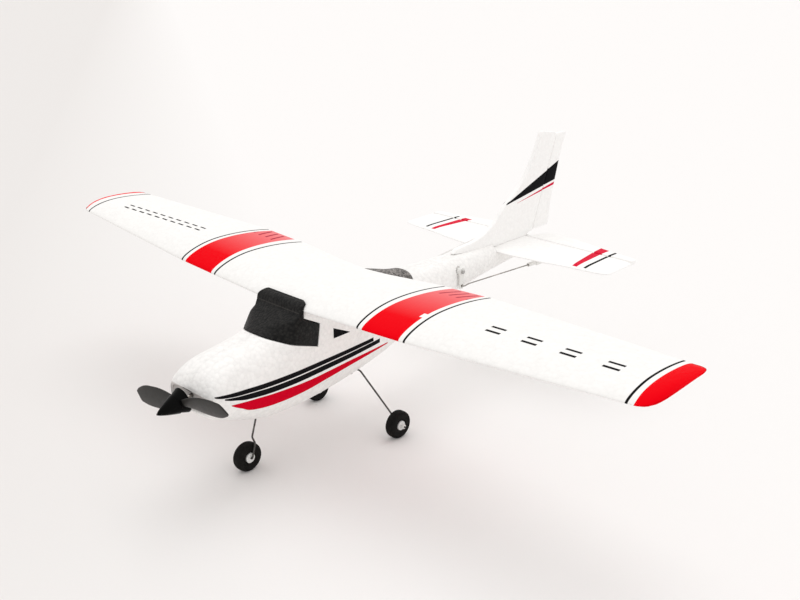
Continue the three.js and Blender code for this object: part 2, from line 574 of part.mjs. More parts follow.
// ---- rudder linkage, on the starboard side: everything turns about lines parallel to the hinge ----
function buildRudderLinkage() {
  const pinHeight = 100;
  const hingeAt = [0, hingeY(pinHeight), pinHeight];
  const [servoX, servoY, servoZ] = RUDDER_SERVO_AXIS;
  const leaning = (origin) => {
    const group = new THREE.Group();
    group.position.set(...origin);
    group.rotation.x = -RUDDER_LEAN;
    model.add(group);
    return group;
  };
  const reach = RUDDER_ARM_LENGTH;
  const flatArm = [
    [0, -2.4], [0, 2.4], [-reach + 1, 1.9], [-reach - 1.2, 1.2], [-reach - 1.9, 0],
    [-reach - 1.2, -1.2], [-reach + 1, -1.9],
  ];

  const atHinge = leaning(hingeAt);
  const hornPlate = join(
    prism([
      [-2, 1], [-2, 9], [-reach + 0.5, 2], [-reach - 1.6, 1.2], [-reach - 2.1, 0],
      [-reach - 1.6, -1.4], [-reach + 1, -2],
    ], 'z', -0.7, 0.7),
    block(-2.8, -2, 1, 9, -3, 3),
  );
  const hornHole = toSolid(rod([-reach, 0, -2], [-reach, 0, 2], ROD_RADIUS + RUNNING_CLEARANCE));
  place('rudder_horn', hornPlate.subtract(hornHole), whitePlastic(), atHinge);

  const atServo = leaning([servoX, servoY, servoZ]);
  const arm = join(rod([0, 0, -1], [0, 0, 1.6], 2.8), prism(flatArm, 'z', -0.7, 0.7));
  const armHole = toSolid(rod([-reach, 0, -2], [-reach, 0, 2], 0.75));
  const screwHole = toSolid(rod([0, 0, -3], [0, 0, 3], 0.9));
  place('rudder_servo_arm', arm.subtract(armHole).subtract(screwHole), whitePlastic(), atServo);
  const screw = turned([[0, -3.4], [0.7, -3.4], [0.7, 0.3], [1.6, 0.3], [1.4, 1.2], [0, 1.3]], 'y', 12);
  const screwMesh = place('rudder_arm_screw', screw, steelWire(), atServo);
  screwMesh.rotation.x = Math.PI / 2;
  screwMesh.position.z = 1.6;
  const servoCase = join(
    block(-4, 4, -14, 4, -18.5, -3.4),
    rod([0, 0, -4], [0, 0, -2.4], 3),
    rod([0, 0, -4], [0, 0, -1.4], 1.9),
  );
  const splineBore = toSolid(rod([0, 0, -4.5], [0, 0, 0], 1));
  place('rudder_servo_case', servoCase.subtract(splineBore), blackPlastic(), atServo);

  // The rod and its clevis are modelled in place, between the two pins.
  const lean = new THREE.Vector3(0, Math.sin(RUDDER_LEAN), Math.cos(RUDDER_LEAN));
  const frontPin = new THREE.Vector3(servoX - reach, servoY, servoZ);
  const rearPin = new THREE.Vector3(-reach, hingeAt[1], hingeAt[2]);
  const shift = (point, amount) => point.clone().addScaledVector(lean, amount).toArray();
  const along = (t) => frontPin.clone().lerp(rearPin, t);
  place('rudder_pushrod', wire([
    shift(frontPin, 1.6), shift(frontPin, -2.6), shift(along(0.08), -1.2), along(0.9).toArray(),
  ], ROD_RADIUS, { bend: 1.4, steps: 44 }), steelWire());
  const forkRoot = rearPin.clone().add(new THREE.Vector3(0, -lean.z, lean.y).multiplyScalar(5));
  const clevisBody = join(
    rod(along(0.86).toArray(), along(0.95).toArray(), 1.6, 12),
    rod(along(0.94).toArray(), forkRoot.toArray(), 1.2, 12),
    rod(shift(forkRoot, 1.65), shift(rearPin, 1.65), 0.6, 8),
    rod(shift(forkRoot, -1.65), shift(rearPin, -1.65), 0.6, 8),
    rod(shift(forkRoot, -2.2), shift(forkRoot, 2.2), 1, 8),
    rod(shift(rearPin, -2), shift(rearPin, 2), ROD_RADIUS),
  );
  const rodBore = toSolid(rod(along(0.85).toArray(), along(0.91).toArray(), ROD_RADIUS + GAP));
  place('rudder_clevis', clevisBody.subtract(rodBore), whitePlastic());
}

// ---- power train, in a group that leans along the thrust line ----
function gearOutline(teeth, phase) {
  const pitch = (GEAR_MODULE * teeth) / 2;
  const [root, tip] = [pitch - 0.48, pitch + 0.36];
  const half = Math.PI / (2 * teeth);
  const outline = [];
  for (let tooth = 0; tooth < teeth; tooth += 1) {
    const centre = phase + (2 * Math.PI * tooth) / teeth;
    for (const [radius, offset] of [[root, -1.3], [tip, -0.45], [tip, 0.45], [root, 1.3]]) {
      const angle = centre + offset * half;
      outline.push([radius * Math.cos(angle), radius * Math.sin(angle)]);
    }
  }
  return outline;
}

function bladeRing(radius, chord, pitchDegrees, thickness) {
  const pitch = THREE.MathUtils.degToRad(pitchDegrees);
  const profile = [[-0.5, 0], [-0.25, 0.8], [0.1, 1], [0.38, 0.6], [0.5, 0], [0.3, -0.25], [-0.2, -0.1]];
  return profile.map(([u, h]) => {
    const along = u * chord;
    const across = -h * thickness;
    return new THREE.Vector3(
      radius,
      BLADE_PLANE - along * Math.sin(pitch) + across * Math.cos(pitch),
      along * Math.cos(pitch) + across * Math.sin(pitch),
    );
  });
}

function makePropeller() {
  const blade = loft([
    [4, 7, 38, 2], [12, 8.6, 32, 1.7], [19, 11.2, 27, 1.5], [27, 12.6, 24, 1.3],
    [35, 12.2, 21, 1.1], [41.5, 10.6, 19, 1], [45, 8, 18, 0.9], [47, 4.6, 18, 0.8],
  ].map((station) => bladeRing(...station)), 'x');
  const hubFront = SPINNER_RADIUS * (1 - HUB_LENGTH / SPINNER_LENGTH);
  const hub = turned([[0, -HUB_LENGTH], [hubFront, -HUB_LENGTH], [SPINNER_RADIUS, 0], [0, 0]], 'y');
  const other = blade.clone().rotateY(Math.PI);
  const bore = toSolid(rod([0, -HUB_LENGTH - 1, 0], [0, 1, 0], SHAFT_RADIUS + GAP));
  return join(hub, blade, other).subtract(bore);
}

function buildPowerTrain() {
  const train = new THREE.Group();
  train.position.set(...THRUST_ORIGIN);
  train.rotation.x = DOWN_THRUST;
  model.add(train);

  place('propeller', makePropeller(), blackPlastic(), train).rotation.y = -BLADE_TILT;
  const noseBase = -HUB_LENGTH - GAP;
  const noseRadius = (SPINNER_RADIUS * (SPINNER_LENGTH + noseBase)) / SPINNER_LENGTH;
  place('spinner', turned([
    [0, -SPINNER_LENGTH], [0.9, -SPINNER_LENGTH + 1.2], [noseRadius, noseBase], [0, noseBase],
  ], 'y'), blackPlastic(), train);
  place('prop_shaft', rod([0, -6, 0], [0, 24, 0], SHAFT_RADIUS), steelWire(), train);
  const spurBore = toSolid(rod([0, 0, 0], [0, 30, 0], SHAFT_RADIUS + RUNNING_CLEARANCE));
  const downPhase = -Math.PI / 2 + Math.PI / SPUR_TEETH;
  const spurTeeth = prism(gearOutline(SPUR_TEETH, downPhase), 'y', 12.2, 15);
  const spur = join(spurTeeth, rod([0, 11.6, 0], [0, 17, 0], 2.6));
  place('spur_gear', spur.subtract(spurBore), whitePlastic(), train);

  const drop = -MOTOR_DROP;
  const pinion = prism(gearOutline(PINION_TEETH, Math.PI / 2), 'y', 11.8, 15.4).translate(0, 0, drop);
  const pinionBore = toSolid(rod([0, 5, drop], [0, 20, drop], 0.5 + RUNNING_CLEARANCE));
  place('pinion', toSolid(pinion).subtract(pinionBore), brass(), train);
  place('motor_shaft', rod([0, 11.4, drop], [0, 22, drop], 0.5, 12), steelWire(), train);
  const can = join(
    rod([0, 18, drop], [0, 37, drop], MOTOR_RADIUS, 24),
    rod([0, 17.2, drop], [0, 19, drop], 1.7),
  );
  const shaftBore = toSolid(rod([0, 16, drop], [0, 23, drop], 0.5 + 0.15, 12));
  place('motor_can', can.subtract(shaftBore), finish(0xb9babc, 0.3, 0.9), train);
  place('motor_endcap', rod([0, 37 + GAP, drop], [0, 38.8, drop], 4, 24), blackPlastic(), train);

  const frame = join(
    block(-9.6, 9.6, 8, 10, drop, 6.2),
    block(-9.6, 9.6, 18.4, 21.4, drop, 6.2),
    block(-9.6, -8.2, 8, 21.4, drop, 6.2),
    block(8.2, 9.6, 8, 21.4, drop, 6.2),
    rod([0, 18.4, drop], [0, 25, drop], 6.2, 24),
  );
  const frameHoles = [
    rod([0, 7, 0], [0, 30, 0], 2.2 + RUNNING_CLEARANCE),
    rod([0, 10.2, drop], [0, 17.9, drop], 4),
    rod([0, 16, drop], [0, 30, drop], MOTOR_RADIUS + 0.1, 24),
  ].map(toSolid);
  const cleared = frameHoles.reduce((left, hole) => left.subtract(hole), frame);
  place('gearbox_frame', cleared, blackPlastic(), train);
  const bushBore = SHAFT_RADIUS + RUNNING_CLEARANCE;
  place('front_shaft_bush', sleeve(bushBore, 2.2, 7.4, 10.8, 'y'), brass(), train);
  place('rear_shaft_bush', sleeve(bushBore, 2.2, 18, 21.8, 'y'), brass(), train);
}

// ---- landing gear ----
function buildWheel(name, x, y) {
  const axle = new THREE.Group();
  axle.position.set(x, y, AXLE_Z);
  model.add(axle);
  place(`${name}_tyre`, turned([
    [4.2, -3.1], [7.2, -3.5], [8.9, -3], [TYRE_RADIUS, -1.5], [TYRE_RADIUS, 1.5], [8.9, 3],
    [7.2, 3.5], [4.2, 3.1], [4.2, -3.1],
  ], 'x', TYRE_SIDES, Math.PI / TYRE_SIDES), finish(0x17171a, 0.85), axle);
  place(`${name}_hub`, turned([
    [0.7, -4], [1.8, -4], [1.8, -3.6], [3.4, -3.6], [3.9, -3.2], [3.9, 3.2], [3.4, 3.6], [1.8, 3.6],
    [1.8, 4], [0.7, 4], [0.7, -4],
  ], 'x', ROUND), whitePlastic(), axle);
}

function buildCollar(name, x, y) {
  place(name, sleeve(WIRE_RADIUS + 0.1, 1.5, -0.8, 0.8, 'x', 12), whitePlastic())
    .position.set(x, y, AXLE_Z);
}

function buildLandingGear() {
  const keel = KEEL_BLOCK;
  const socket = toSolid(block(-keel.half, keel.half, keel.front, keel.rear, keel.low, keel.high));
  const strutTop = [0, -128.6, keel.high - 1.5];
  const strutBore = toSolid(rod([0, -128.6, keel.low - 3], strutTop, WIRE_RADIUS + GAP));
  place('nose_gear_block', socket.subtract(strutBore), whitePlastic());
  place('nose_gear_wire', wire([
    [0, -128.6, keel.high - 3], [0, -128.4, 33], [0, -132.2, 21.2], [5, -133.8, 19.6],
    [5, NOSE_WHEEL_Y, AXLE_Z], [-6.6, NOSE_WHEEL_Y, AXLE_Z],
  ], WIRE_RADIUS, { bend: 1.3, steps: 44 }), steelWire());
  buildWheel('nose', 0, NOSE_WHEEL_Y);
  buildCollar('nose_wheel_collar', -5.3, NOSE_WHEEL_Y);

  const plate = GEAR_PLATE;
  const wireZ = 43.9;
  const crossY = -51;
  const channel = toSolid(block(-20, 20, crossY - 0.9, crossY + 0.9, wireZ - 0.9, 50));
  const holes = GEAR_SCREW_X.map((x) => toSolid(rod([x, GEAR_SCREW_Y, 40], [x, GEAR_SCREW_Y, 50], 1)));
  const body = toSolid(block(-plate.half, plate.half, plate.front, plate.rear, plate.low, plate.high));
  const drilled = holes.reduce((left, hole) => left.subtract(hole), body.subtract(channel));
  place('main_gear_plate', drilled, whitePlastic());
  GEAR_SCREW_X.forEach((x, i) => {
    const screw = turned([[0, -1.3], [1.3, -1.2], [1.7, -0.3], [0.7, -0.3], [0.7, 6], [0, 6.6]], 'y', 12);
    const mesh = place(i === 0 ? 'gear_plate_screw_right' : 'gear_plate_screw_left', screw, steelWire());
    mesh.rotation.x = Math.PI / 2;
    mesh.position.set(x, GEAR_SCREW_Y, plate.low);
  });
  const leg = [
    [14.6, crossY, wireZ], [34, -41, 14.5], [34, MAIN_WHEEL_Y, AXLE_Z], [46.8, MAIN_WHEEL_Y, AXLE_Z],
  ];
  const mirrored = leg.map(([x, y, z]) => [-x, y, z]).reverse();
  place('main_gear_wire', wire([...mirrored, ...leg], WIRE_RADIUS, { bend: 1.4, steps: 80 }), steelWire());
  buildWheel('left', MAIN_WHEEL_X, MAIN_WHEEL_Y);
  buildWheel('right', -MAIN_WHEEL_X, MAIN_WHEEL_Y);
  buildCollar('left_wheel_collar', MAIN_WHEEL_X + 5.3, MAIN_WHEEL_Y);
  buildCollar('right_wheel_collar', -MAIN_WHEEL_X - 5.3, MAIN_WHEEL_Y);
}

// ---- battery, receiver and wiring inside the fuselage ----
function buildElectronics() {
  const skin = 1.1;
  const { half, flange, front, rear, low, high } = TRAY;
  const trayShell = join(
    block(-half, half, front, rear, low, high),
    block(-flange, flange, front, rear, high - skin, high),
  );
  const inside = half - skin;
  const trayInside = toSolid(block(-inside, inside, front + skin, rear - skin, low - 1, high - skin));
  const leadNotch = toSolid(block(-3, 3, rear - 3, rear + 3, 52, 57));
  place('battery_tray', trayShell.subtract(trayInside).subtract(leadNotch), blackPlastic());
  const pack = block(-12, 12, front + 2, rear - 3, low + 0.5, high - skin - 0.6);
  place('battery_pack', pack, finish(0x2c4f9e, 0.35));

  const board = new THREE.Group();
  board.position.set(0, -27, 56.4);
  board.rotation.x = THREE.MathUtils.degToRad(11.5);
  model.add(board);
  const chips = join(
    block(-9, 9, -15, 15, 0, 1.2),
    block(-3.5, 3.5, -4, 3, 1, 2.4),
    block(4.5, 8, -13, -6, 1, 4.4),
    block(-8, -4.5, -13, -6, 1, 4.4),
    block(-6, 6, 9, 13, 1, 3.6),
  );
  place('receiver_board', chips, finish(0x1e5a36, 0.5), board);
  place('receiver_pad', block(-7, 7, -12, 12, -2.3, -GAP), greyFoam(), board);

  place('battery_lead', wire([
    [0, -69.4, 54.5], [0, -60, 55.5], [4, -52, 59.5], [6.2, -43.4, 56.8],
  ], 1.1, { bend: 3, steps: 16 }), leadWire(0xb01c1c));
  place('motor_lead', wire([
    [0, -136.6, 62.4], [2, -130, 67], [3, -112, 67], [3, -64, 67], [-6.2, -43.6, 58.6],
  ], 0.9, { bend: 5, steps: 30 }), leadWire(0x222222));
  place('elevator_servo_lead', wire([
    [3, -10.4, 62.4], [3, 4, 68], [2.5, 30, 74], [2, 47.6, 77],
  ], 0.7, { bend: 4, steps: 20 }), leadWire(0x8a3b1e));
  place('rudder_servo_lead', wire([
    [-3, -10.4, 62.4], [-4, 0, 68], [-5, 12, 74], [-5.5, 18.5, 79],
  ], 0.7, { bend: 4, steps: 20 }), leadWire(0x8a3b1e));
  place('antenna_wire', wire([
    [-7.2, -12.8, 62.6], [-9, -2, 68], [-9.5, 14, 84], [-3, 24, 89.6],
  ], 0.45, { bend: 5, steps: 24, sides: 6 }), leadWire(0x111111));
}

buildFuselage();
buildTail();
buildElevatorLinkage();
buildRudderLinkage();
buildPowerTrain();
buildLandingGear();
buildElectronics();

export default model;
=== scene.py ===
"""Looks of a small high-wing foam trainer airplane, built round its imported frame."""

import math

import bmesh
import bpy
from mathutils import Matrix, Vector


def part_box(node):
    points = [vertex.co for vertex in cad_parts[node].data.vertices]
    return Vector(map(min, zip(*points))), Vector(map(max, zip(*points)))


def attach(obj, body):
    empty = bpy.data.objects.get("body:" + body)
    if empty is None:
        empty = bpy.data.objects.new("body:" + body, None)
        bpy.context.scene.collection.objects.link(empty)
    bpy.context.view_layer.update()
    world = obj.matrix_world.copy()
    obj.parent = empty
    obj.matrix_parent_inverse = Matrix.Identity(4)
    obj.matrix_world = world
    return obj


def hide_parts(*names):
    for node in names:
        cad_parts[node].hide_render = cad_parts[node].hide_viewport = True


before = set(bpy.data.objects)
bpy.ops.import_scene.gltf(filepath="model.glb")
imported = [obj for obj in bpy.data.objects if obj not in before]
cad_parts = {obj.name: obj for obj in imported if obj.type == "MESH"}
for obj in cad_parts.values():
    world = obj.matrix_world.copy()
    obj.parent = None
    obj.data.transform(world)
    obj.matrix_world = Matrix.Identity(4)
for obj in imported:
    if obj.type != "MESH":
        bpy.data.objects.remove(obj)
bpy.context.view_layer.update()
scene = bpy.context.scene
MM = 0.001

# ---- driving dimensions, millimetres ----
GAP = 0.3
WALL = 4.5
RING_POINTS = 112
STATION_STEP = 2.5
HALF_SPAN = 250
PANEL_BREAK = 103
TIP_LINE = 236
ROOT_LEAD_Y, ROOT_TRAIL_Y = -104, -26
TIP_LEAD_Y, TIP_TRAIL_Y = -96.3, -40.2
LEAD_Z = 102.4
DIHEDRAL = 0.0505
ROOT_CUT = 3.6
CAVITY_FRONT_Y, CAVITY_REAR_Y = -170.3, 66
CABIN_ROOF_Z = 97
THRUST_ORIGIN = Vector((0, -177.5, 65.2))
DOWN_THRUST = math.radians(9)
SPINNER_BASE, SPINNER_TIP, SPINNER_RADIUS, HUB_LENGTH = 1.9, 20.6, 8, 7.4
BLADE_TILT = math.radians(15.2)
AXLE_Z = 9.518
NOSE_WHEEL_Y, MAIN_WHEEL_Y, MAIN_WHEEL_X = -136.8, -41.5, 40
WIRE_RADIUS, COLLAR_OFFSET = 0.6, 5.3
STAB_MID_Z = 88.3
ELEVATOR_HINGE_Y = 149
RUDDER_LEAN = math.radians(20)
RUDDER_HINGE_BASE = (0, 157, 93.3)
RUDDER_SERVO_AXIS = Vector((-5.5, 40, 88))
ELEVATOR_SERVO_Y = 52
SHELL_JOINT = 0.02
HATCH_HALF, HATCH_FRONT_Y, HATCH_REAR_Y, HATCH_INNER_Z = 13.2, -115.7, -66.3, 46.8
HATCH_HINGE_X, HATCH_HINGE_Z, HATCH_SWING = -13.35, 39.2, 1.8
TAIL_HALF_SPAN = 98.3
STAB_HALF, ELEVATOR_HALF, FIN_HALF, RUDDER_HALF = 1.8, 1.0, 2, 1.7
FLOOR_HALF, FLOOR_Z = 6000, -0.02

# ---- camera and light, metres and degrees ----
CAMERA_SPOT = (0.4311, -0.4570, 0.3180)
CAMERA_AIM = Vector((-0.63787, 0.68116, -0.35938))
CAMERA_SENSOR, CAMERA_LENS = 36, 43.33
SOFTBOX_AIM = Vector((0.2, -0.3, -1))
SOFTBOX_STRENGTH, SOFTBOX_ANGLE = 0.68, 50
SKY_COLOUR, SKY_STRENGTH = (1.0, 0.985, 0.975, 1.0), 0.92

# Station y, keel z, crown z, half width, height of the widest point, squareness above and below.
BODY = [
    (-174.5, 56, 69.7, 19.8, 63, 4.4, 2.8),
    (-173, 54.5, 73.2, 20.4, 63, 4, 2.8),
    (-170, 52, 78, 20.8, 63, 3.2, 2.7),
    (-165, 49.5, 82.1, 21.2, 63, 2.85, 2.6),
    (-158, 46.3, 84.9, 21.6, 62.5, 2.6, 2.6),
    (-148, 42.3, 86.8, 21.9, 62, 2.5, 2.6),
    (-138, 38.8, 88.3, 22.1, 62, 2.5, 2.6),
    (-127.5, 36.6, 90, 22.3, 62, 2.7, 2.6),
    (-122, 36.2, 92.6, 22.4, 62.2, 2.7, 2.6),
    (-116, 36, 95.7, 22.5, 62.5, 4.3, 2.6),
    (-110, 36, 99, 22.6, 62.8, 8.5, 2.6),
    (-105.5, 36, 101.6, 22.6, 63, 8, 2.6),
    (-103, 36, 103.8, 22.6, 63, 8, 2.6),
    (-97, 36.3, 107, 22.6, 63, 7, 2.6),
    (-78, 38, 108.5, 22.4, 64, 6, 2.6),
    (-51, 42, 107.5, 21.6, 66, 4, 2.6),
    (-26, 47, 104.9, 20, 69, 3, 2.6),
    (-19, 49, 103.3, 19.3, 70, 2.8, 2.6),
    (-2, 53.5, 98.8, 17.8, 73, 2.7, 2.6),
    (12, 57.5, 97, 16.5, 75, 2.6, 2.5),
    (45, 66, 95.8, 14, 80, 2.6, 2.4),
    (75, 70.5, 94.2, 11, 82.5, 2.5, 2.3),
    (102, 73, 93, 8.3, 83.5, 2.4, 2.2),
    (150, 76.5, 91, 4.5, 84.5, 2.2, 2.1),
]


# ---- mesh helpers ----
def lerp(a, b, t):
    return a + (b - a) * t


def clamp(t):
    return max(0.0, min(1.0, t))


def mirrored(points):
    """The points of a plan outline on the other side of the airplane, in the opposite order."""
    return [(-x, y) for x, y in reversed(points)]


def both_sides(half):
    """A closed (radius, place) profile from its half at negative places."""
    return [*half, *[(radius, -place) for radius, place in reversed(half) if place], half[0]]


def smooth_curve(knots):
    """Returns a function through the (place, value) knots that never overshoots between them."""
    places = [k[0] for k in knots]
    values = [k[1] for k in knots]
    slopes = [
        (values[i + 1] - values[i]) / (places[i + 1] - places[i]) for i in range(len(knots) - 1)
    ]
    bends = [slopes[0]]
    for a, b in zip(slopes, slopes[1:]):
        bends.append(2 * a * b / (a + b) if a * b > 0 else 0.0)
    bends.append(slopes[-1])

    def value(place):
        if place <= places[0]:
            return values[0]
        if place >= places[-1]:
            return values[-1]
        i = max(k for k in range(len(places) - 1) if places[k] <= place)
        width = places[i + 1] - places[i]
        t = (place - places[i]) / width
        return (
            (1 + 2 * t) * (1 - t) ** 2 * values[i]
            + t * (1 - t) ** 2 * width * bends[i]
            + t * t * (3 - 2 * t) * values[i + 1]
            + t * t * (t - 1) * width * bends[i + 1]
        )

    return value


def new_object(name, points, faces, slivers=False):
    """A mesh from points in millimetres, with points that coincide joined."""
    mesh = bpy.data.meshes.new(name)
    mesh.from_pydata([Vector(p) * MM for p in points], [], faces)
    obj = bpy.data.objects.new(name, mesh)
    scene.collection.objects.link(obj)
    work = bmesh.new()
    work.from_mesh(mesh)
    bmesh.ops.remove_doubles(work, verts=work.verts, dist=1e-7)
    if slivers:
        bmesh.ops.dissolve_degenerate(work, dist=1e-7, edges=work.edges)
    bmesh.ops.recalc_face_normals(work, faces=work.faces)
    work.to_mesh(mesh)
    work.free()
    return obj


def strip_faces(rows, count):
    """Quads between rings of count points that follow each other."""
    faces = []
    for row in range(rows - 1):
        for i in range(count):
            j = (i + 1) % count
            a = row * count
            faces.append((a + i, a + j, a + count + j, a + count + i))
    return faces


def loft(name, rings):
    """A closed skin over rings that follow each other, with flat ends."""
    count = len(rings[0])
    points = [p for ring in rings for p in ring]
    ends = [tuple(range(count)), tuple((len(rings) - 1) * count + i for i in range(count))]
    return new_object(name, points, ends + strip_faces(len(rings), count))


def prism(name, outline, axis, low, high):
    """The outline is (y, z) along x, (x, z) along y or (x, y) along z."""
    order = {"x": (2, 0, 1), "y": (0, 2, 1), "z": (0, 1, 2)}[axis]
    return loft(name, [[[(u, v, w)[k] for k in order] for u, v in outline] for w in (low, high)])


def block(name, x0, x1, y0, y1, z0, z1):
    return prism(name, [(x0, y0), (x1, y0), (x1, y1), (x0, y1)], "z", z0, z1)


def rod(name, start, end, radius, sides=40):
    start, end = Vector(start), Vector(end)
    turn = Vector((0, 0, 1)).rotation_difference(end - start).to_matrix()
    circle = [
        Vector((math.cos(math.tau * i / sides), math.sin(math.tau * i / sides), 0)) * radius
        for i in range(sides)
    ]
    return loft(name, [[spot + turn @ p for p in circle] for spot in (start, end)])


def lathe(name, profile, axis, origin=(0, 0, 0), sides=96):
    """Turns (radius, place) pairs about an axis through the origin; radius 0 closes an end."""
    rings = []
    for radius, place in profile:
        ring = []
        for i in range(sides):
            a = math.tau * i / sides
            u, v = radius * math.cos(a), radius * math.sin(a)
            spot = {"x": (place, u, v), "y": (v, place, u)}[axis]
            ring.append(Vector(spot) + Vector(origin))
        rings.append(ring)
    points = [p for ring in rings for p in ring]
    # Ends that close on the axis leave slivers to clear.
    slivers = profile[0] != profile[-1]
    return new_object(name, points, strip_faces(len(rings), sides), slivers)


def rounded_path(points, bend, corner_steps=8, run_step=6.0):
    """Resamples a broken line, with each corner rounded over the bend length."""
    corners = [Vector(p) for p in points]
    path = [corners[0]]
    for i in range(1, len(corners) - 1):
        corner = corners[i]
        before = corner + (corners[i - 1] - corner).normalized() * bend
        after = corner + (corners[i + 1] - corner).normalized() * bend
        for k in range(corner_steps + 1):
            t = k / corner_steps
            path.append(before * (1 - t) ** 2 + corner * 2 * t * (1 - t) + after * t * t)
    path.append(corners[-1])
    dense = [path[0]]
    for a, b in zip(path, path[1:]):
        steps = max(1, int((b - a).length / run_step))
        dense.extend(a.lerp(b, k / steps) for k in range(1, steps + 1))
    return dense


def tube(name, points, radius, bend, sides=14):
    """A round wire along a broken line, with bevelled ends."""
    path = rounded_path(points, bend)
    side = (path[1] - path[0]).orthogonal().normalized()
    rings = []
    for i, spot in enumerate(path):
        along = (path[min(i + 1, len(path) - 1)] - path[max(i - 1, 0)]).normalized()
        side = (side - along * side.dot(along)).normalized()
        other = along.cross(side)
        rings.append([
            spot + (side * math.cos(a) + other * math.sin(a)) * radius
            for a in (math.tau * k / sides for k in range(sides))
        ])
    caps = []
    for ring, spot, inner in ((rings[0], path[0], path[1]), (rings[-1], path[-1], path[-2])):
        outwards = (spot - inner).normalized() * radius * 0.4
        caps.append([p.lerp(spot, 0.35) + outwards for p in ring])
    return loft(name, [caps[0], *rings, caps[1]])


def move(obj, matrix):
    """Moves an object's own points by a matrix given in millimetres."""
    scaled = matrix.copy()
    scaled.translation = matrix.translation * MM
    obj.data.transform(scaled)
    return obj


def apply_modifiers(obj):
    graph = bpy.context.evaluated_depsgraph_get()
    made = bpy.data.meshes.new_from_object(obj.evaluated_get(graph), depsgraph=graph)
    obj.modifiers.clear()
    old = obj.data
    obj.data = made
    bpy.data.meshes.remove(old)
    return obj


def combine(obj, tools, operation="DIFFERENCE"):
    """Cuts the tools from obj, or joins or intersects it with them, then drops the tools."""
    for tool in tools:
        step = obj.modifiers.new("cut", "BOOLEAN")
        step.operation = operation
        step.solver = "MANIFOLD"
        step.object = tool
        apply_modifiers(obj)
    for tool in tools:
        bpy.data.objects.remove(tool)
    return obj


def copy_of(obj):
    twin = bpy.data.objects.new("copy", obj.data.copy())
    scene.collection.objects.link(twin)
    return twin


def remesh(obj, voxel):
    step = obj.modifiers.new("remesh", "REMESH")
    step.mode = "VOXEL"
    step.voxel_size = voxel * MM
    return apply_modifiers(obj)


def smooth(obj, passes):
    step = obj.modifiers.new("smooth", "SMOOTH")
    step.factor = 0.5
    step.iterations = passes
    return apply_modifiers(obj)


def soften(obj, voxel, passes):
    """Remeshes a foam block to even cells and rounds its edges."""
    return smooth(remesh(obj, voxel), passes)


def bevel(obj, width, segments, angle):
    step = obj.modifiers.new("edge", "BEVEL")
    step.width = width * MM
    step.segments = segments
    step.limit_method = "ANGLE"
    step.angle_limit = math.radians(angle)
    step.use_clamp_overlap = True
    return obj


def finish_piece(obj, material, replaced, body="airframe", sharp=40):
    """Gives a piece its finish and its body, in place of the CAD node it replaces."""
    obj.data.materials.clear()
    obj.data.materials.append(material)
    obj.data.shade_smooth()
    obj.data.set_sharp_from_angle(angle=math.radians(sharp))
    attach(obj, body)
    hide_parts(replaced)


# ---- material helpers ----
class Field:
    """A number at every point of a surface, for arithmetic in a node tree."""

    def __init__(self, tree, socket):
        self.tree = tree
        self.socket = socket

    def __add__(self, other):
        return node_math(self.tree, "ADD", self, other)

    def __sub__(self, other):
        return node_math(self.tree, "SUBTRACT", self, other)

    def __rsub__(self, other):
        return node_math(self.tree, "SUBTRACT", other, self)

    def __mul__(self, other):
        return node_math(self.tree, "MULTIPLY", self, other)

    def __abs__(self):
        return node_math(self.tree, "ABSOLUTE", self)

    __radd__ = __add__
    __rmul__ = __mul__


def node_math(tree, operation, *values, use_clamp=False):
    node = tree.nodes.new("ShaderNodeMath")
    node.operation = operation
    node.use_clamp = use_clamp
    for socket, value in zip(node.inputs, values):
        if isinstance(value, Field):
            tree.links.new(value.socket, socket)
        else:
            socket.default_value = value
    return Field(tree, node.outputs[0])


def either(a, b):
    return node_math(a.tree, "MAXIMUM", a, b)


def beyond(field, limit, blur=0.12):
    """1 where the field is past the limit, 0 before it, with a short ramp."""
    return node_math(field.tree, "MULTIPLY_ADD", field - limit, 1 / blur, 0.5, use_clamp=True)


def below(field, limit, blur=0.12):
    return 1 - beyond(field, limit, blur)


def between(field, low, high, blur=0.12):
    return beyond(field, low, blur) * below(field, high, blur)


def along_curve(field, knots):
    """A smooth function of the field through the knots, as a curve node."""
    tree = field.tree
    places = [k[0] for k in knots]
    values = [k[1] for k in knots]
    low, high = places[0], places[-1]
    base, top = min(values) - 1, max(values) + 1
    node = tree.nodes.new("ShaderNodeFloatCurve")
    curve = node.mapping.curves[0]
    spots = [((p - low) / (high - low), (v - base) / (top - base)) for p, v in knots]
    curve.points[0].location = spots[0]
    curve.points[1].location = spots[-1]
    for spot in spots[1:-1]:
        curve.points.new(*spot)
    node.mapping.update()
    tree.links.new(((field - low) * (1 / (high - low))).socket, node.inputs["Value"])
    return Field(tree, node.outputs[0]) * (top - base) + base


def start_material(name):
    material = bpy.data.materials.new(name)
    material.use_nodes = True
    tree = material.node_tree
    shader = tree.nodes["Principled BSDF"]
    spot = tree.nodes.new("ShaderNodeTexCoord")
    return material, tree, shader, spot.outputs["Object"]


def feed(shader, name, value):
    """Drives an input of the shader by a field or a colour socket."""
    shader.id_data.links.new(getattr(value, "socket", value), shader.inputs[name])


def coordinates(tree, spot):
    """x, y and z in millimetres."""
    split = tree.nodes.new("ShaderNodeSeparateXYZ")
    tree.links.new(spot, split.inputs[0])
    return [Field(tree, output) * 1000.0 for output in split.outputs]


def noise(tree, spot, size, detail=3.0, roughness=0.55):
    """Cloudy noise with features about size millimetres across."""
    node = tree.nodes.new("ShaderNodeTexNoise")
    node.inputs["Scale"].default_value = 1000.0 / size
    node.inputs["Detail"].default_value = detail
    node.inputs["Roughness"].default_value = roughness
    tree.links.new(spot, node.inputs["Vector"])
    return Field(tree, node.outputs["Fac"])


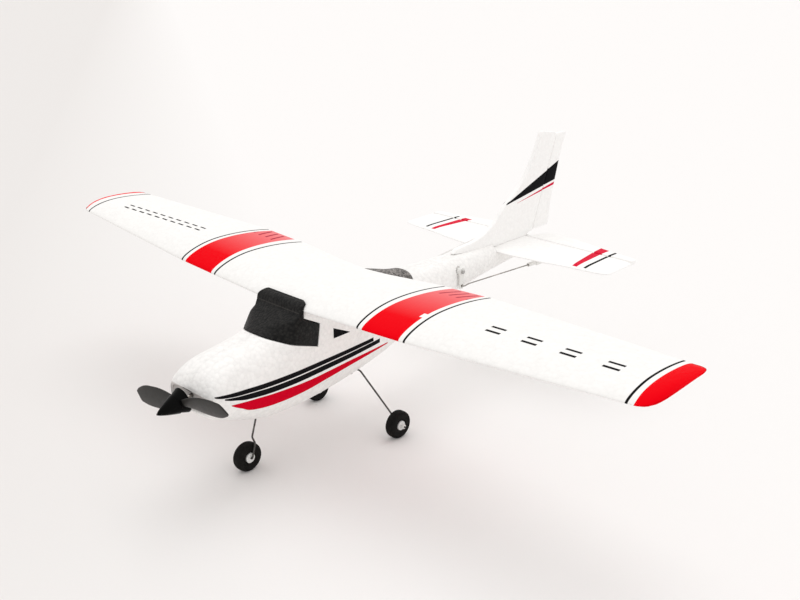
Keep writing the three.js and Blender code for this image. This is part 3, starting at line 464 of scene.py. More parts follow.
def beads(tree, spot, size):
    """Packed round cells about size millimetres across: distance from each centre, and its tint."""
    node = tree.nodes.new("ShaderNodeTexVoronoi")
    node.inputs["Scale"].default_value = 1000.0 / size
    tree.links.new(spot, node.inputs["Vector"])
    split = tree.nodes.new("ShaderNodeSeparateColor")
    tree.links.new(node.outputs["Color"], split.inputs[0])
    return Field(tree, node.outputs["Distance"]), Field(tree, split.outputs[0])


def mix_colour(tree, mask, a, b):
    node = tree.nodes.new("ShaderNodeMix")
    node.data_type = "RGBA"
    sockets = [s for s in node.inputs if s.type == "RGBA"]
    tree.links.new(mask.socket, node.inputs[0])
    for socket, value in zip(sockets, (a, b)):
        if isinstance(value, tuple):
            socket.default_value = (*value, 1.0)
        else:
            tree.links.new(value, socket)
    return next(s for s in node.outputs if s.type == "RGBA")


def shaded(tree, base, level):
    """The base colour made lighter or darker by the level, which is about 1."""
    node = tree.nodes.new("ShaderNodeVectorMath")
    node.operation = "SCALE"
    node.inputs[0].default_value = base
    tree.links.new(level.socket, node.inputs["Scale"])
    return node.outputs[0]


def set_bump(tree, shader, height, distance, edge=0.0):
    """Raises the surface by height times distance, in millimetres, with softened edges."""
    node = tree.nodes.new("ShaderNodeBump")
    node.inputs["Distance"].default_value = distance * MM
    tree.links.new(height.socket, node.inputs["Height"])
    if edge:
        round_off = tree.nodes.new("ShaderNodeBevel")
        round_off.samples = 6
        round_off.inputs["Radius"].default_value = edge * MM
        tree.links.new(round_off.outputs[0], node.inputs["Normal"])
    tree.links.new(node.outputs[0], shader.inputs["Normal"])


RED = (0.86, 0.0, 0.006)
# The pale red is painted sheen on the wing band near the trailing edge.
RED_PAINTED_SHEEN = (0.86, 0.24, 0.25)
BLACK = (0.008, 0.008, 0.009)
SPINNER_BLACK = (0.0016, 0.0016, 0.0014)
SPINNER_GLOSS, BLADE_GLOSS = 0.06, 0.24
FILM_GLOSS, FILM_ROUGHNESS = 0.02, 0.5


def foam(name, base, bead, depth, print_and_painted_light=None, roughness=0.6, edge=0.5, contrast=0.05, gloss=0.2):
    """Moulded bead foam. The function of x, y and z gives (mask, colour) pairs for the printed film and
    for painted shade, painted shadow, painted highlight and painted sheen, all laid on with the film's
    gloss and bump.
    """
    material, tree, shader, spot = start_material(name)
    x, y, z = coordinates(tree, spot)
    distance, tint = beads(tree, spot, bead)
    fine = noise(tree, spot, 0.35, 2.0)
    broad = noise(tree, spot, 22.0, 2.0)
    shade = (tint - 0.5) * contrast + (broad - 0.5) * (contrast * 0.9) + (fine - 0.5) * (contrast * 0.8)
    # Painted shade: the colour is darker in the valleys between the beads.
    bead_valley_painted_shade = beyond(distance, 0.62, 0.5)
    colour = shaded(tree, base, shade - bead_valley_painted_shade * (contrast * 0.8) + 1.0)
    # The film mask also covers the painted shade, painted shadow and painted highlight.
    film_and_painted_light = None
    for mask, paint in (print_and_painted_light(x, y, z) if print_and_painted_light else []):
        colour = mix_colour(tree, mask, colour, paint)
        film_and_painted_light = mask if film_and_painted_light is None else either(film_and_painted_light, mask)
    feed(shader, "Base Color", colour)
    rough = (fine - 0.5) * 0.12 + roughness
    height = distance * -0.75 + fine * 0.25
    if film_and_painted_light is not None:
        rough = rough + film_and_painted_light * (FILM_ROUGHNESS - roughness)
        gleam = film_and_painted_light * (FILM_GLOSS - gloss) + gloss
        feed(shader, "Specular IOR Level", gleam)
        height = height * (1 - film_and_painted_light * 0.45) + film_and_painted_light * 0.35 + film_and_painted_light * noise(tree, spot, 7.0, 1.0) * 0.9
    feed(shader, "Roughness", rough)
    set_bump(tree, shader, height, depth, edge=edge)
    shader.inputs["Specular IOR Level"].default_value = gloss
    return material


def plastic(name, base, roughness, coat=0.0, depth=0.012, metallic=0.0, edge=0.12, gloss=0.3):
    """Moulded or drawn material with faint scuffs and a fine surface grain."""
    material, tree, shader, spot = start_material(name)
    scuff = noise(tree, spot, 3.5, 5.0, 0.65)
    fine = noise(tree, spot, 0.3, 2.0)
    level = (scuff - 0.5) * 0.16 + (fine - 0.5) * 0.08 + 1.0
    feed(shader, "Base Color", shaded(tree, base, level))
    feed(shader, "Roughness", (scuff - 0.5) * 0.22 + roughness)
    set_bump(tree, shader, fine, depth, edge=edge)
    shader.inputs["Coat Weight"].default_value = coat
    shader.inputs["Coat Roughness"].default_value = 0.12
    shader.inputs["Metallic"].default_value = metallic
    shader.inputs["Specular IOR Level"].default_value = gloss
    return material


def darken_hub(material):
    """Gives the part of the propeller inside the spinner's outline the spinner's own gloss black."""
    tree = material.node_tree
    shader = tree.nodes["Principled BSDF"]
    spot = next(n for n in tree.nodes if n.type == "TEX_COORD").outputs["Object"]
    x, y, z = coordinates(tree, spot)
    rise = (z - THRUST_ORIGIN.z) * math.cos(DOWN_THRUST) - (y - THRUST_ORIGIN.y) * math.sin(DOWN_THRUST)
    radius = node_math(tree, "SQRT", x * x + rise * rise)
    hub = below(radius, SPINNER_RADIUS + 0.1, 0.3)
    blade_colour = shader.inputs["Base Color"].links[0].from_socket
    feed(shader, "Base Color", mix_colour(tree, hub, blade_colour, SPINNER_BLACK))
    gleam = hub * (SPINNER_GLOSS - BLADE_GLOSS) + BLADE_GLOSS
    feed(shader, "Specular IOR Level", gleam)


def drawn_wire(name, base, roughness=0.34):
    """Spring wire: dark oxide with fine bright drawing lines and small worn spots."""
    material, tree, shader, spot = start_material(name)
    lines = noise(tree, spot, 0.25, 3.0, 0.7)
    wear = noise(tree, spot, 6.0, 4.0)
    worn = beyond(wear, 0.6, 0.12)
    colour = mix_colour(tree, worn * 0.6, base, tuple(min(1.0, c * 2.2) for c in base))
    feed(shader, "Base Color", colour)
    feed(shader, "Roughness", (lines - 0.5) * 0.3 + roughness)
    shader.inputs["Metallic"].default_value = 0.95
    set_bump(tree, shader, lines, 0.01)
    return material


# ---- printed markings and painted light, in millimetres on the surface ----
def clamp_field(field):
    return node_math(field.tree, "ADD", field, 0.0, use_clamp=True)


def add_up(fields):
    return sum(fields[1:], fields[0])


def lip_painted_highlight(x, y, z):
    # Painted highlight: a pale line along the crease of the lip and a fainter one along its top edge.
    crease = between(z + (y + 105) * 0.1, 101.5, 101.95, 0.3) * between(y, -107, -104) * below(abs(x), 19)
    top_edge = between(z + (y + 101) * 0.6, 107.1, 107.7, 0.4) * below(abs(x), 17)
    return [(crease * 0.6 + top_edge * 0.25, (0.075, 0.07, 0.066))]


# Plain bars on the wing: their centres, then half length and half width.
PORT_BARS = [(x, y) for x in (143.5, 167, 191, 216) for y in (-77.4, -71.8)]
PORT_BAR_SIZE = (4.8, 1.0)
STARBOARD_BARS = [
    (-127.8 - i * 9.1, -70.3 - i * 0.66 + offset) for i in range(10) for offset in (-2.6, 2.6)
]
STARBOARD_BAR_SIZE = (2.9, 0.75)
SLOTS_Y = (-46, -30.5)
BAND_FRONT_Y, BAND_REAR_Y = -104.2, -27.8
LINE_FRONT_Y, LINE_REAR_Y = -104, -27.5
LINE_SPANS = [(66.2, 67.6), (102.4, 103.8), (235.2, 236.6)]


def bars(x, y, places, size):
    half_length, half_width = size
    return add_up([
        between(x, centre - half_length, centre + half_length)
        * between(y, row - half_width, row + half_width)
        for centre, row in places
    ])


def wing_print_and_painted_sheen(x, y, z):
    span = abs(x)
    chord = (y + 104) * (1 / 78)
    top_side = beyond(z - span * DIHEDRAL, 101.5, 0.4)
    band = beyond(span - chord * 3.4, 70.6) * below(span, 99.2)
    band = band * between(y, BAND_FRONT_Y, BAND_REAR_Y) * top_side
    notch = between(span, 96.6, 100) * between(y, -84.2, -79.6) * beyond(x, 0)
    tip = beyond(span - below(x, 0) * 3, 239.6)
    lines = add_up([between(span, low, high) for low, high in LINE_SPANS])
    lines = lines * beyond(y, LINE_FRONT_Y) * below(y, LINE_REAR_Y) * top_side
    # Painted sheen: the red band grows paler towards the trailing edge.
    painted_sheen = clamp_field((chord - 0.2) * 1.35)
    slots = add_up([
        between(span - (y + 44) * 0.27, 78.3 + i * 6.6, 79.9 + i * 6.6)
        * between(y, SLOTS_Y[0] + i % 2, SLOTS_Y[1])
        for i in range(4)
    ])
    all_bars = bars(x, y, PORT_BARS, PORT_BAR_SIZE) + bars(x, y, STARBOARD_BARS, STARBOARD_BAR_SIZE)
    return [
        (band * (1 - notch), mix_colour(x.tree, painted_sheen, RED, RED_PAINTED_SHEEN)),
        (tip, RED),
        (lines, BLACK),
        (band * slots, (0.4, 0.01, 0.035)),
        (all_bars * top_side, BLACK),
    ]


# Side stripes: upper edge and lower edge as (y, z) points, first and last y, colour.
SIDE_STRIPES = [
    (
        [(-172, 70.4), (-151.2, 68.4), (-124.5, 67.1), (-86.5, 67.4), (-44.5, 68)],
        [(-172, 69.9), (-165, 67.6), (-151.3, 65.6), (-123.3, 63.9), (-86.6, 64.4), (-44.5, 65.4)],
        -171.6, -44.8, BLACK,
    ),
    (
        [(-166, 67.3), (-143.8, 64.4), (-122.1, 63.1), (-86.7, 63.7), (-38, 65.2)],
        [(-166, 66.7), (-159, 64.2), (-143.9, 60.9), (-122.1, 59.4), (-86.6, 60.2), (-38, 62.3)],
        -165.6, -38.4, BLACK,
    ),
    (
        [(-161.5, 61.9), (-143.9, 59.9), (-122.2, 58.1), (-101.9, 57.6), (-86.6, 58.2), (-59.4, 59.2),
         (-29, 59.2)],
        [(-161.5, 61.5), (-154.3, 57.3), (-143.5, 52.6), (-128, 50.7), (-111.6, 50.6), (-86.3, 53.2),
         (-70, 55), (-50, 56.8), (-29, 58.3)],
        -161.4, -29.4, (0.66, 0.0, 0.018),
    ),
]
NOSE_FACE_Y = -172.9


def side_print_and_painted_shade(x, y, z):
    side = beyond(abs(x), 14, 0.5)
    marks = []
    for top, foot, first, last, colour in SIDE_STRIPES:
        stripe = beyond(z - along_curve(y, foot), 0) * below(z - along_curve(y, top), 0)
        marks.append((stripe * between(y, first, last) * side, colour))
    # Painted shade on the recessed nose face, strongest near its top under the lip, and a painted shadow
    # line right under the lip.
    nose_face_painted_shade = below(y, NOSE_FACE_Y) * below(z, 69, 0.8) * beyond(z, 63, 7) * 0.8
    nose_lip_painted_shadow = below(y, NOSE_FACE_Y) * between(z, 68.1, 68.9) * between(x, -7, 1.5)
    glass = beyond(y, -81.3) * beyond(z, 79) * below(z + (y + 81.3) * 0.475, 86)
    return [
        *marks,
        (nose_face_painted_shade, (0.62, 0.575, 0.55)),
        (nose_lip_painted_shadow, (0.09, 0.06, 0.055)),
        (glass * side, BLACK),
    ]


def fin_marks(x, y, z):
    # A long black triangle that widens towards the trailing edge, with a red sliver under it.
    upper = (z - 119.9) - (y - 117) * 0.3443
    lower = (z - 119.9) - (y - 117) * 0.1422
    past_edge = either(beyond(abs(x), 1.4), beyond(y, 130))
    black = below(upper, 0) * beyond(lower, 0) * beyond(y, 117) * past_edge
    red_top = (z - 119.3) - (y - 134) * 0.167
    red_foot = (z - 119.2) - (y - 134) * 0.1255
    red = below(red_top, 0) * beyond(red_foot, 0) * beyond(y, 134)
    return [(black, BLACK), (red, (0.68, 0.004, 0.05))]


def stab_marks(x, y, z):
    span = abs(x - 2.4)
    inner = span + (y - 112) * 0.135
    outer = span + (y - 112) * 0.045
    top_side = beyond(z, STAB_MID_Z + 0.1)
    in_reach = either(beyond(x, 0), below(y, 155))
    red = beyond(inner, 66.8) * below(outer, 70.4) * between(y, 113.2, 170) * in_reach
    black = between(span + (y - 114) * 0.03, 75.3, 77.5) * between(y, 114.4, 170) * in_reach
    return [(red * top_side, (0.72, 0.012, 0.045)), (black * top_side, BLACK)]


TAIL_WHITE = (0.98, 0.973, 0.96)
white_wing = foam(
    "wing_foam", (0.93, 0.922, 0.905), 2.2, 0.12, wing_print_and_painted_sheen, contrast=0.035, gloss=0.3,
)
white_body = foam(
    "body_foam", (0.95, 0.938, 0.92), 2.4, 0.36, side_print_and_painted_shade, roughness=0.42, contrast=0.07, gloss=0.5,
)
white_fin = foam("fin_foam", TAIL_WHITE, 2.2, 0.1, fin_marks, contrast=0.03)
white_stab = foam("stab_foam", TAIL_WHITE, 2.2, 0.1, stab_marks, contrast=0.03)
black_foam = foam(
    "windshield_foam", (0.0085, 0.008, 0.0072), 1.5, 0.3, lip_painted_highlight, roughness=0.48, contrast=1.3,
    gloss=0.17,
)
grey_foam = foam("rear_window_foam", (0.24, 0.222, 0.21), 1.3, 0.3, contrast=1.1)
pad_foam = foam("pad_foam", (0.03, 0.03, 0.03), 0.8, 0.1, roughness=0.85, contrast=0.4)
tyre_foam = foam(
    "tyre_foam", (0.009, 0.008, 0.0075), 0.6, 0.07, roughness=0.8, edge=0, contrast=0.6, gloss=0.12,
)
gloss_black = plastic("gloss_black", SPINNER_BLACK, 0.22, depth=0.003, gloss=SPINNER_GLOSS)
blade_black = plastic("blade_black", (0.018, 0.0165, 0.0145), 0.42, gloss=BLADE_GLOSS)
darken_hub(blade_black)
case_black = plastic("case_black", (0.016, 0.016, 0.018), 0.42)
nylon = plastic("nylon", (0.82, 0.815, 0.79), 0.4)
bush_tan = plastic("bush_tan", (0.6, 0.55, 0.52), 0.5)
coated_wire = plastic("coated_wire", (0.8, 0.79, 0.77), 0.4, edge=0)
hub_white = plastic("hub_white", (0.78, 0.78, 0.77), 0.42)
brass = plastic("brass", (0.72, 0.52, 0.22), 0.28, metallic=1.0, edge=0)
can_steel = plastic("can_steel", (0.58, 0.58, 0.6), 0.26, metallic=1.0, edge=0)
wire_steel = drawn_wire("wire_steel", (0.085, 0.08, 0.076))
rod_steel = drawn_wire("rod_steel", (0.3, 0.28, 0.26))
screw_steel = drawn_wire("screw_steel", (0.42, 0.41, 0.4), 0.3)
battery_wrap = plastic("battery_wrap", (0.03, 0.09, 0.32), 0.3, coat=0.4)
board_green = plastic("board_green", (0.015, 0.12, 0.05), 0.4)
lead_red = plastic("lead_red", (0.5, 0.02, 0.02), 0.5)
lead_black = plastic("lead_black", (0.015, 0.015, 0.015), 0.5)
lead_brown = plastic("lead_brown", (0.16, 0.045, 0.015), 0.5)


# ---- fuselage ----
KEYS = ("keel", "crown", "half", "waist", "top_power", "keel_power")
BODY_CURVES = {
    key: smooth_curve([(row[0], row[i + 1]) for row in BODY]) for i, key in enumerate(KEYS)
}
NOSE_STATIONS = (-173.8, -173, -171.8)


def body_ring(y, inset=0.0, ceiling=1e9):
    s = {key: curve(y) for key, curve in BODY_CURVES.items()}
    ring = []
    for i in range(RING_POINTS):
        a = math.tau * (i + 0.5) / RING_POINTS
        cos, sin = math.cos(a), math.sin(a)
        square = s["top_power"] if sin >= 0 else s["keel_power"]
        top = min(s["crown"] - inset, ceiling)
        height = top - s["waist"] if sin >= 0 else s["waist"] - s["keel"] - inset
        ring.append(Vector((
            (s["half"] - inset) * math.copysign(abs(cos) ** (2 / square), cos),
            y,
            s["waist"] + height * math.copysign(abs(sin) ** (2 / square), sin),
        )))
    return ring


def stations(low, high):
    """Even places along the body, with closer ones round the edge of the nose."""
    count = max(2, round((high - low) / STATION_STEP))
    places = [lerp(low, high, i / count) for i in range(count + 1)]
    return sorted(set(places + [y for y in NOSE_STATIONS if low < y < high]))


def body_skin(inset=0.0):
    return loft("skin", [body_ring(y, inset) for y in stations(BODY[0][0], BODY[-1][0])])


def cavity():
    return loft("cavity", [
        body_ring(y, WALL, CABIN_ROOF_Z) for y in stations(CAVITY_FRONT_Y, CAVITY_REAR_Y)
    ])


# ---- wing ----
CAMBER_PEAK = 0.4
WING_CUT_STEPS, WING_STEPS = 24, 40


def wing_chord(x):
    span = abs(x)
    taper = clamp((span - PANEL_BREAK) / (TIP_LINE - PANEL_BREAK))
    return {
        "lead": lerp(ROOT_LEAD_Y, TIP_LEAD_Y, taper),
        "trail": lerp(ROOT_TRAIL_Y, TIP_TRAIL_Y, taper) - ROOT_CUT * (1 - clamp((span - 20) / 40)),
        "z": LEAD_Z + DIHEDRAL * span,
        "rise": lerp(3.6, 2.3, taper),
        "camber": lerp(0.05, 0.042, taper),
        "thickness": lerp(0.088, 0.085, taper),
    }


def camber_at(u, camber):
    if u < CAMBER_PEAK:
        return camber / CAMBER_PEAK**2 * (2 * CAMBER_PEAK * u - u * u)
    return camber / (1 - CAMBER_PEAK) ** 2 * (1 - 2 * CAMBER_PEAK + 2 * CAMBER_PEAK * u - u * u)


def half_thickness(u, thickness):
    shape = 0.2969 * math.sqrt(u) - 0.126 * u - 0.3516 * u**2 + 0.2843 * u**3 - 0.1015 * u**4
    return 5 * thickness * shape + 0.009 * u


def edge_packed(steps):
    """Places from 0 to 1, closer together towards both ends."""
    return [(1 - math.cos(math.pi * i / steps)) / 2 for i in range(steps + 1)]


def wing_ring(x, grow=0.0, rise=0.0):
    """One wing section, swollen by grow, with its upper side lifted by rise."""
    c = wing_chord(x)
    chord = c["trail"] - c["lead"]

    def at(u, side):
        middle = c["z"] + c["rise"] * u + chord * camber_at(u, c["camber"])
        half = chord * half_thickness(u, c["thickness"]) + grow
        lift = rise if side > 0 else 0.0
        return Vector((x, lerp(c["lead"] - grow, c["trail"] + grow, u), middle + side * half + lift))

    places = edge_packed(WING_CUT_STEPS)
    return [at(u, 1) for u in places] + [at(u, -1) for u in reversed(places)]


def wing_slot(rise):
    return loft("wing_slot", [wing_ring(x, GAP, rise) for x in (-30, 0, 30)])


TIP_CURVE = [
    (TIP_LINE, -96.3), (239.5, -96.1), (243, -94.8), (246.6, -91), (248.6, -85), (249.6, -76),
    (HALF_SPAN, -64), (HALF_SPAN, -48.5), (249.4, -44.6), (247.6, -42), (243.5, -40.6), (TIP_LINE, -40.2),
]
TIP_ROUNDING = 7.5


def tip_distance(x, y):
    """How far inside the tip's plan curve a point is."""
    best = 1e9
    for (ax, ay), (bx, by) in zip(TIP_CURVE, TIP_CURVE[1:]):
        dx, dy = bx - ax, by - ay
        t = clamp(((x - ax) * dx + (y - ay) * dy) / (dx * dx + dy * dy))
        best = min(best, math.hypot(x - ax - dx * t, y - ay - dy * t))
    return best


def tip_edges(span):
    """The leading and trailing edge of the wing outside the tip line."""
    return smooth_curve(TIP_CURVE[:7])(span), smooth_curve(TIP_CURVE[:6:-1])(span)


def build_wing():
    inner = [TIP_LINE - 4.2 * i for i in range(57)]
    outer = [
        236.8, 238, 239.5, 241, 242.5, 244, 245.3, 246.4, 247.4, 248.2, 248.9, 249.4, 249.8, HALF_SPAN,
    ]
    half = sorted(inner + outer)
    spans = [-x for x in reversed(half)] + [0.0] + half
    rings = []
    for x in spans:
        span = abs(x)
        c = wing_chord(x)
        chord = c["trail"] - c["lead"]
        lead, trail = c["lead"], c["trail"]
        if span > TIP_LINE:
            lead, trail = tip_edges(span)
        edge = clamp((span - TIP_LINE) / 4)

        def at(v, side):
            y = lerp(lead, trail, v)
            u = clamp((y - c["lead"]) / chord)
            half_t = chord * half_thickness(u, c["thickness"])
            blunt = clamp((1 - v) * (trail - lead) / 0.9)
            half_t *= math.sqrt(1 - (1 - blunt) ** 2) * 0.75 + 0.25
            middle = c["z"] + c["rise"] * u + chord * camber_at(u, c["camber"])
            if edge > 0:
                # The upper side rolls down to the flat underside near the edge of the tip.
                reach = clamp(tip_distance(span, y) / TIP_ROUNDING)
                share = lerp(1, math.sqrt(1 - (1 - reach) ** 2), edge)
                middle -= half_t * (1 - share) * 0.6
                half_t *= share
            return Vector((x, y, middle + side * half_t))

        places = edge_packed(WING_STEPS)
        rings.append([at(v, 1) for v in places] + [at(v, -1) for v in reversed(places[1:])])
    wing = loft("wing_panel", rings)
    finish_piece(wing, white_wing, "wing", sharp=50)


# ---- windshield block, rear window and hatch ----
LIP_PORT = [
    (17, -99.6), (19.2, -100.1), (20.8, -101), (21.8, -102.6), (21.9, -104.5), (20.6, -107),
    (18, -111),
]
LIP_OUTLINE = [*mirrored(LIP_PORT), *LIP_PORT]
LIP_ROOT = [(-109.8, 97.9), (-105.7, 101.7), (-105.3, 103.6), (-104, 103.6), (-104, 97)]
LIP_HALF, LIP_MIDDLE_Z, LIP_TOP_Z = 22.4, 95, 109.8
WINDOW_HALF = 20
WINDOW_PORT = [
    (WINDOW_HALF, -30), (WINDOW_HALF, -9), (19.3, -5), (17.6, -1.2), (14.6, 1.8), (10.2, 4), (5, 5.2),
]
WINDOW_OUTLINE = [*WINDOW_PORT, (0, 5.6), *mirrored(WINDOW_PORT)]
WINDOW_DEPTH = 2.0


def canopy_zone(grow):
    return prism("zone", [
        (-130 - grow, 91.3 - grow), (-114.7, 85.1 - grow), (-94.8 + grow, 78 - grow),
        (-92.4 + grow, 92.3 + grow), (-104.3 + grow, 98.6 + grow), (-104.3 + grow, 120),
        (-130 - grow, 120),
    ], "x", -40, 40)


def window_zone(grow):
    scaled = [(x * (1 + grow / WINDOW_HALF), y + math.copysign(grow, y + 10)) for x, y in WINDOW_OUTLINE]
    return prism("zone", scaled, "z", 85, 120)


def shell_layer(depth):
    return combine(body_skin(), [body_skin(depth)])


def hatch_zone(grow):
    half = HATCH_HALF + grow
    return block("zone", -half, half, HATCH_FRONT_Y - grow, HATCH_REAR_Y + grow, 20, 52)


def lip_front_view():
    """The lip seen from the nose: a flat top with round shoulders, as (x, z)."""
    outline = []
    for i in range(61):
        cos, sin = math.cos(math.pi * i / 60), math.sin(math.pi * i / 60)
        x = LIP_HALF * math.copysign(math.sqrt(abs(cos)), cos)
        outline.append((x, lerp(LIP_MIDDLE_Z, LIP_TOP_Z, math.sqrt(abs(sin)))))
    return [*outline, (-LIP_HALF, 90), (LIP_HALF, 90)]


def build_canopy():
    lip = loft("lip", [wing_ring(x, 0.9) for x in (-30, 30)])
    combine(lip, [prism("root", LIP_ROOT, "x", -30, 30)], "UNION")
    plan = prism("plan", LIP_OUTLINE, "z", 90, 130)
    front_view = prism("front_view", lip_front_view(), "y", -130, -80)
    combine(lip, [plan, front_view], "INTERSECT")
    combine(lip, [block("under", -30, 30, -104.3, -80, 95, LEAD_Z + 0.6)])
    canopy = body_skin()
    canopy.name = "windshield_block"
    combine(canopy, [canopy_zone(0)], "INTERSECT")
    combine(canopy, [block("over", -40, 40, -105, -80, 101.5, 130)])
    combine(canopy, [lip], "UNION")
    combine(canopy, [wing_slot(0), cavity()])
    soften(canopy, 0.4, 10)
    finish_piece(canopy, black_foam, "windshield_canopy", sharp=80)


def build_rear_window():
    window = combine(shell_layer(WINDOW_DEPTH + 0.2), [window_zone(0)], "INTERSECT")
    window.name = "rear_window_inset"
    soften(window, 0.4, 4)
    finish_piece(window, grey_foam, "rear_window", sharp=80)


def build_hatch():
    hatch = combine(body_skin(), [cavity()])
    combine(hatch, [hatch_zone(0)], "INTERSECT")
    combine(hatch, [block("above", -20, 20, -130, -50, HATCH_INNER_Z, 60)])
    hatch.name = "hatch_door"
    soften(hatch, 0.45, 3)
    finish_piece(hatch, white_body, "battery_hatch", body="battery_door", sharp=80)


# ---- openings in the shells ----
def along_thrust(tool):
    turn = Matrix.Translation(THRUST_ORIGIN) @ Matrix.Rotation(DOWN_THRUST, 4, "X")
    return move(tool, turn)


def leaning(tool, origin):
    turn = Matrix.Translation(origin) @ Matrix.Rotation(-RUDDER_LEAN, 4, "X")
    return move(tool, turn)


def hinge_y(z):
    return RUDDER_HINGE_BASE[1] + (z - RUDDER_HINGE_BASE[2]) * math.tan(RUDDER_LEAN)


FIN_FOOT = STAB_MID_Z + 1.75
FIN_FOOT_OVER_ELEVATOR = STAB_MID_Z + 3.9
FIN_OUTLINE = [
    (58, 95.8), (62.4, 98.6), (70, 99.2), (80, 99.6), (89, 101.2), (97.5, 103.8), (108.5, 109.8),
    (114, 115), (120, 120), (129.7, 126.2), (139.5, 133.6), (147.8, 143.1), (154.8, 153.8),
    (160.5, 164.8), (162.2, 169.1), (163.2, 170.7), (164.8, 171.2), (hinge_y(166.9) - 3, 168.4),
    (hinge_y(166.9) - 0.5, 166.9), (hinge_y(FIN_FOOT_OVER_ELEVATOR) - 0.5, FIN_FOOT_OVER_ELEVATOR),
    (152.6, FIN_FOOT_OVER_ELEVATOR), (148.2, FIN_FOOT + 0.35), (147, FIN_FOOT), (101.2, FIN_FOOT),
    (101.2, 91.8), (75, 93),
]
STAB_SEAT = [
    (102.9, STAB_MID_Z - 0.4), (107, STAB_MID_Z - 1.3), (113, STAB_MID_Z - 1.85),
    (160, STAB_MID_Z - 1.85), (160, 120), (102.9, 120),
]


def shell_tools():
    """Everything that is cut out of the two fuselage shells."""
    arm = RUDDER_SERVO_AXIS
    servo_y = ELEVATOR_SERVO_Y
    face = [(p.x * 0.9, 63 + (p.z - 63) * 0.82) for p in body_ring(BODY[0][0])]
    recess = loft("recess", [[Vector((x, y, z)) for x, z in face] for y in (-176, -173.4)])
    groove_ends = [(HATCH_HINGE_X, y, HATCH_HINGE_Z) for y in (-116, -66)]
    screws = [rod("screw", (x, -54.6, 40), (x, -54.6, 52), 1) for x in (-9, 9)]
    window = combine(shell_layer(WINDOW_DEPTH + GAP), [window_zone(GAP)], "INTERSECT")
    return [
        cavity(),
        canopy_zone(GAP),
        wing_slot(15),
        window,
        hatch_zone(GAP),
        rod("hinge_groove", *groove_ends, HATCH_SWING),
        recess,
        along_thrust(rod("shaft", (0, -2, 0), (0, 12, 0), 1.5)),
        along_thrust(block("gearbox", -9.9, 9.9, 7.7, 21.7, -9.5, 6.5)),
        block("tray", -13.9, 13.9, -115.3, -66.7, 47.2, 61.4),
        *screws,
        block("keel", -5.3, 5.3, -133.8, -123.2, 30, 47.3),
        block("plate", -13.3, 13.3, -57.3, -44.7, 30, 45.5),
        block("wire", -20, 20, -52.2, -49.8, 30, 45.5),
        block("servo", -7.5, 9.9, servo_y - 4.1, servo_y + 4.1, 72.6, 91.4),
        rod("servo_face", (9, servo_y, 87.5), (20, servo_y, 87.5), 2.78),
        block("arm", arm.x - 14, arm.x + 3.5, arm.y - 8, arm.y + 8, arm.z - 4.5, arm.z + 3.4),
        leaning(block("servo", -4.3, 4.3, -14.3, 4.3, -18.8, 3.2), arm),
        prism("stab", STAB_SEAT, "x", -20, 20),
        block("elevator", -20, 20, ELEVATOR_HINGE_Y - 0.7, 160, STAB_MID_Z - 3, 120),
        prism("fin", FIN_OUTLINE, "x", -FIN_HALF - 0.03, FIN_HALF + 0.03),
    ]


def build_shells():
    shell = combine(body_skin(), shell_tools())
    for name, low, high in (("left", SHELL_JOINT, 60), ("right", -60, -SHELL_JOINT)):
        half = combine(copy_of(shell), [block("half", low, high, -200, 200, 0, 140)], "INTERSECT")
        half.name = f"{name}_shell"
        finish_piece(half, white_body, f"fuselage_{name}_shell", sharp=38)
    bpy.data.objects.remove(shell)


# ---- tail ----
def smooth_outline(points, start, end):
    """Rounds the run of points from start to end with a curve through them."""
    run = [Vector(p) for p in points[start:end + 1]]
    made = []
    steps = 4
    for i in range(len(run) - 1):
        p0, p1, p2, p3 = run[max(i - 1, 0)], run[i], run[i + 1], run[min(i + 2, len(run) - 1)]
        for k in range(steps):
            t = k / steps
            made.append(0.5 * (2 * p1 + (p2 - p0) * t + (2 * p0 - 5 * p1 + 4 * p2 - p3) * t * t
                               + (3 * p1 - p0 - 3 * p2 + p3) * t**3))
    made.append(run[-1])
    return [*points[:start], *[tuple(p) for p in made], *points[end + 1:]]


def plate(name, outline, axis, half, edge):
    piece = prism(name, outline, axis, -half, half)
    bevel(piece, edge, 4, 50)
    return apply_modifiers(piece)


def panel(name, outline, trail, half, rounding):
    """A flat foam panel in plan, closed from a grid so that its outer edges can be rounded."""
    top = remesh(prism(name, outline, "z", -0.5, 0.5), 0.7)
    edges = [(Vector(a), Vector(b)) for a, b in zip(outline, [*outline[1:], outline[0]])
             if not (a[1] > trail - 0.1 and b[1] > trail - 0.1)]
    for v in top.data.vertices:
        spot = Vector((v.co.x, v.co.y)) / MM
        best = rounding
        for a, b in edges:
            run = b - a
            t = clamp((spot - a).dot(run) / run.length_squared)
            best = min(best, (spot - a - run * t).length)
        share = math.sqrt(max(0.0, 1 - (1 - best / rounding) ** 2))
        height = half * lerp(1.0, 0.86, abs(spot.x) / TAIL_HALF_SPAN) * max(0.12, share)
        level = min(abs(v.co.z) / (0.5 * MM), 1.0)
        v.co.z = math.copysign(level * height * MM, v.co.z) + STAB_MID_Z * MM
    return smooth(top, 2)


STAB_LEAD = [
    (0, 103), (26, 103.6), (46, 106), (61, 109.2), (81, 111.4), (92, 113.2), (96.5, 115.4),
    (TAIL_HALF_SPAN, 119),
]
ELEVATOR_FRONT_Y = ELEVATOR_HINGE_Y + 0.7
ELEVATOR_PORT = [
    (0, ELEVATOR_FRONT_Y), (97.2, ELEVATOR_FRONT_Y), (97, 154.5), (95.8, 156.8), (93, 158),
    (78, 159.9), (66, 162.4), (37, 169.5), (30, 170.4), (9.5, 170.6), (3, 154), (0, 153.6),
]
RUDDER_OUTLINE = [
    (hinge_y(92.8) + 0.4, 92.8), (hinge_y(166.8) + 0.4, 166.8), (193.5, 166.9), (195.9, 166.6),
    (197.2, 165.3), (196.9, 163.9), (192.9, 156.5), (189.8, 145.8), (181.5, 115.8), (178.4, 92.8),
]


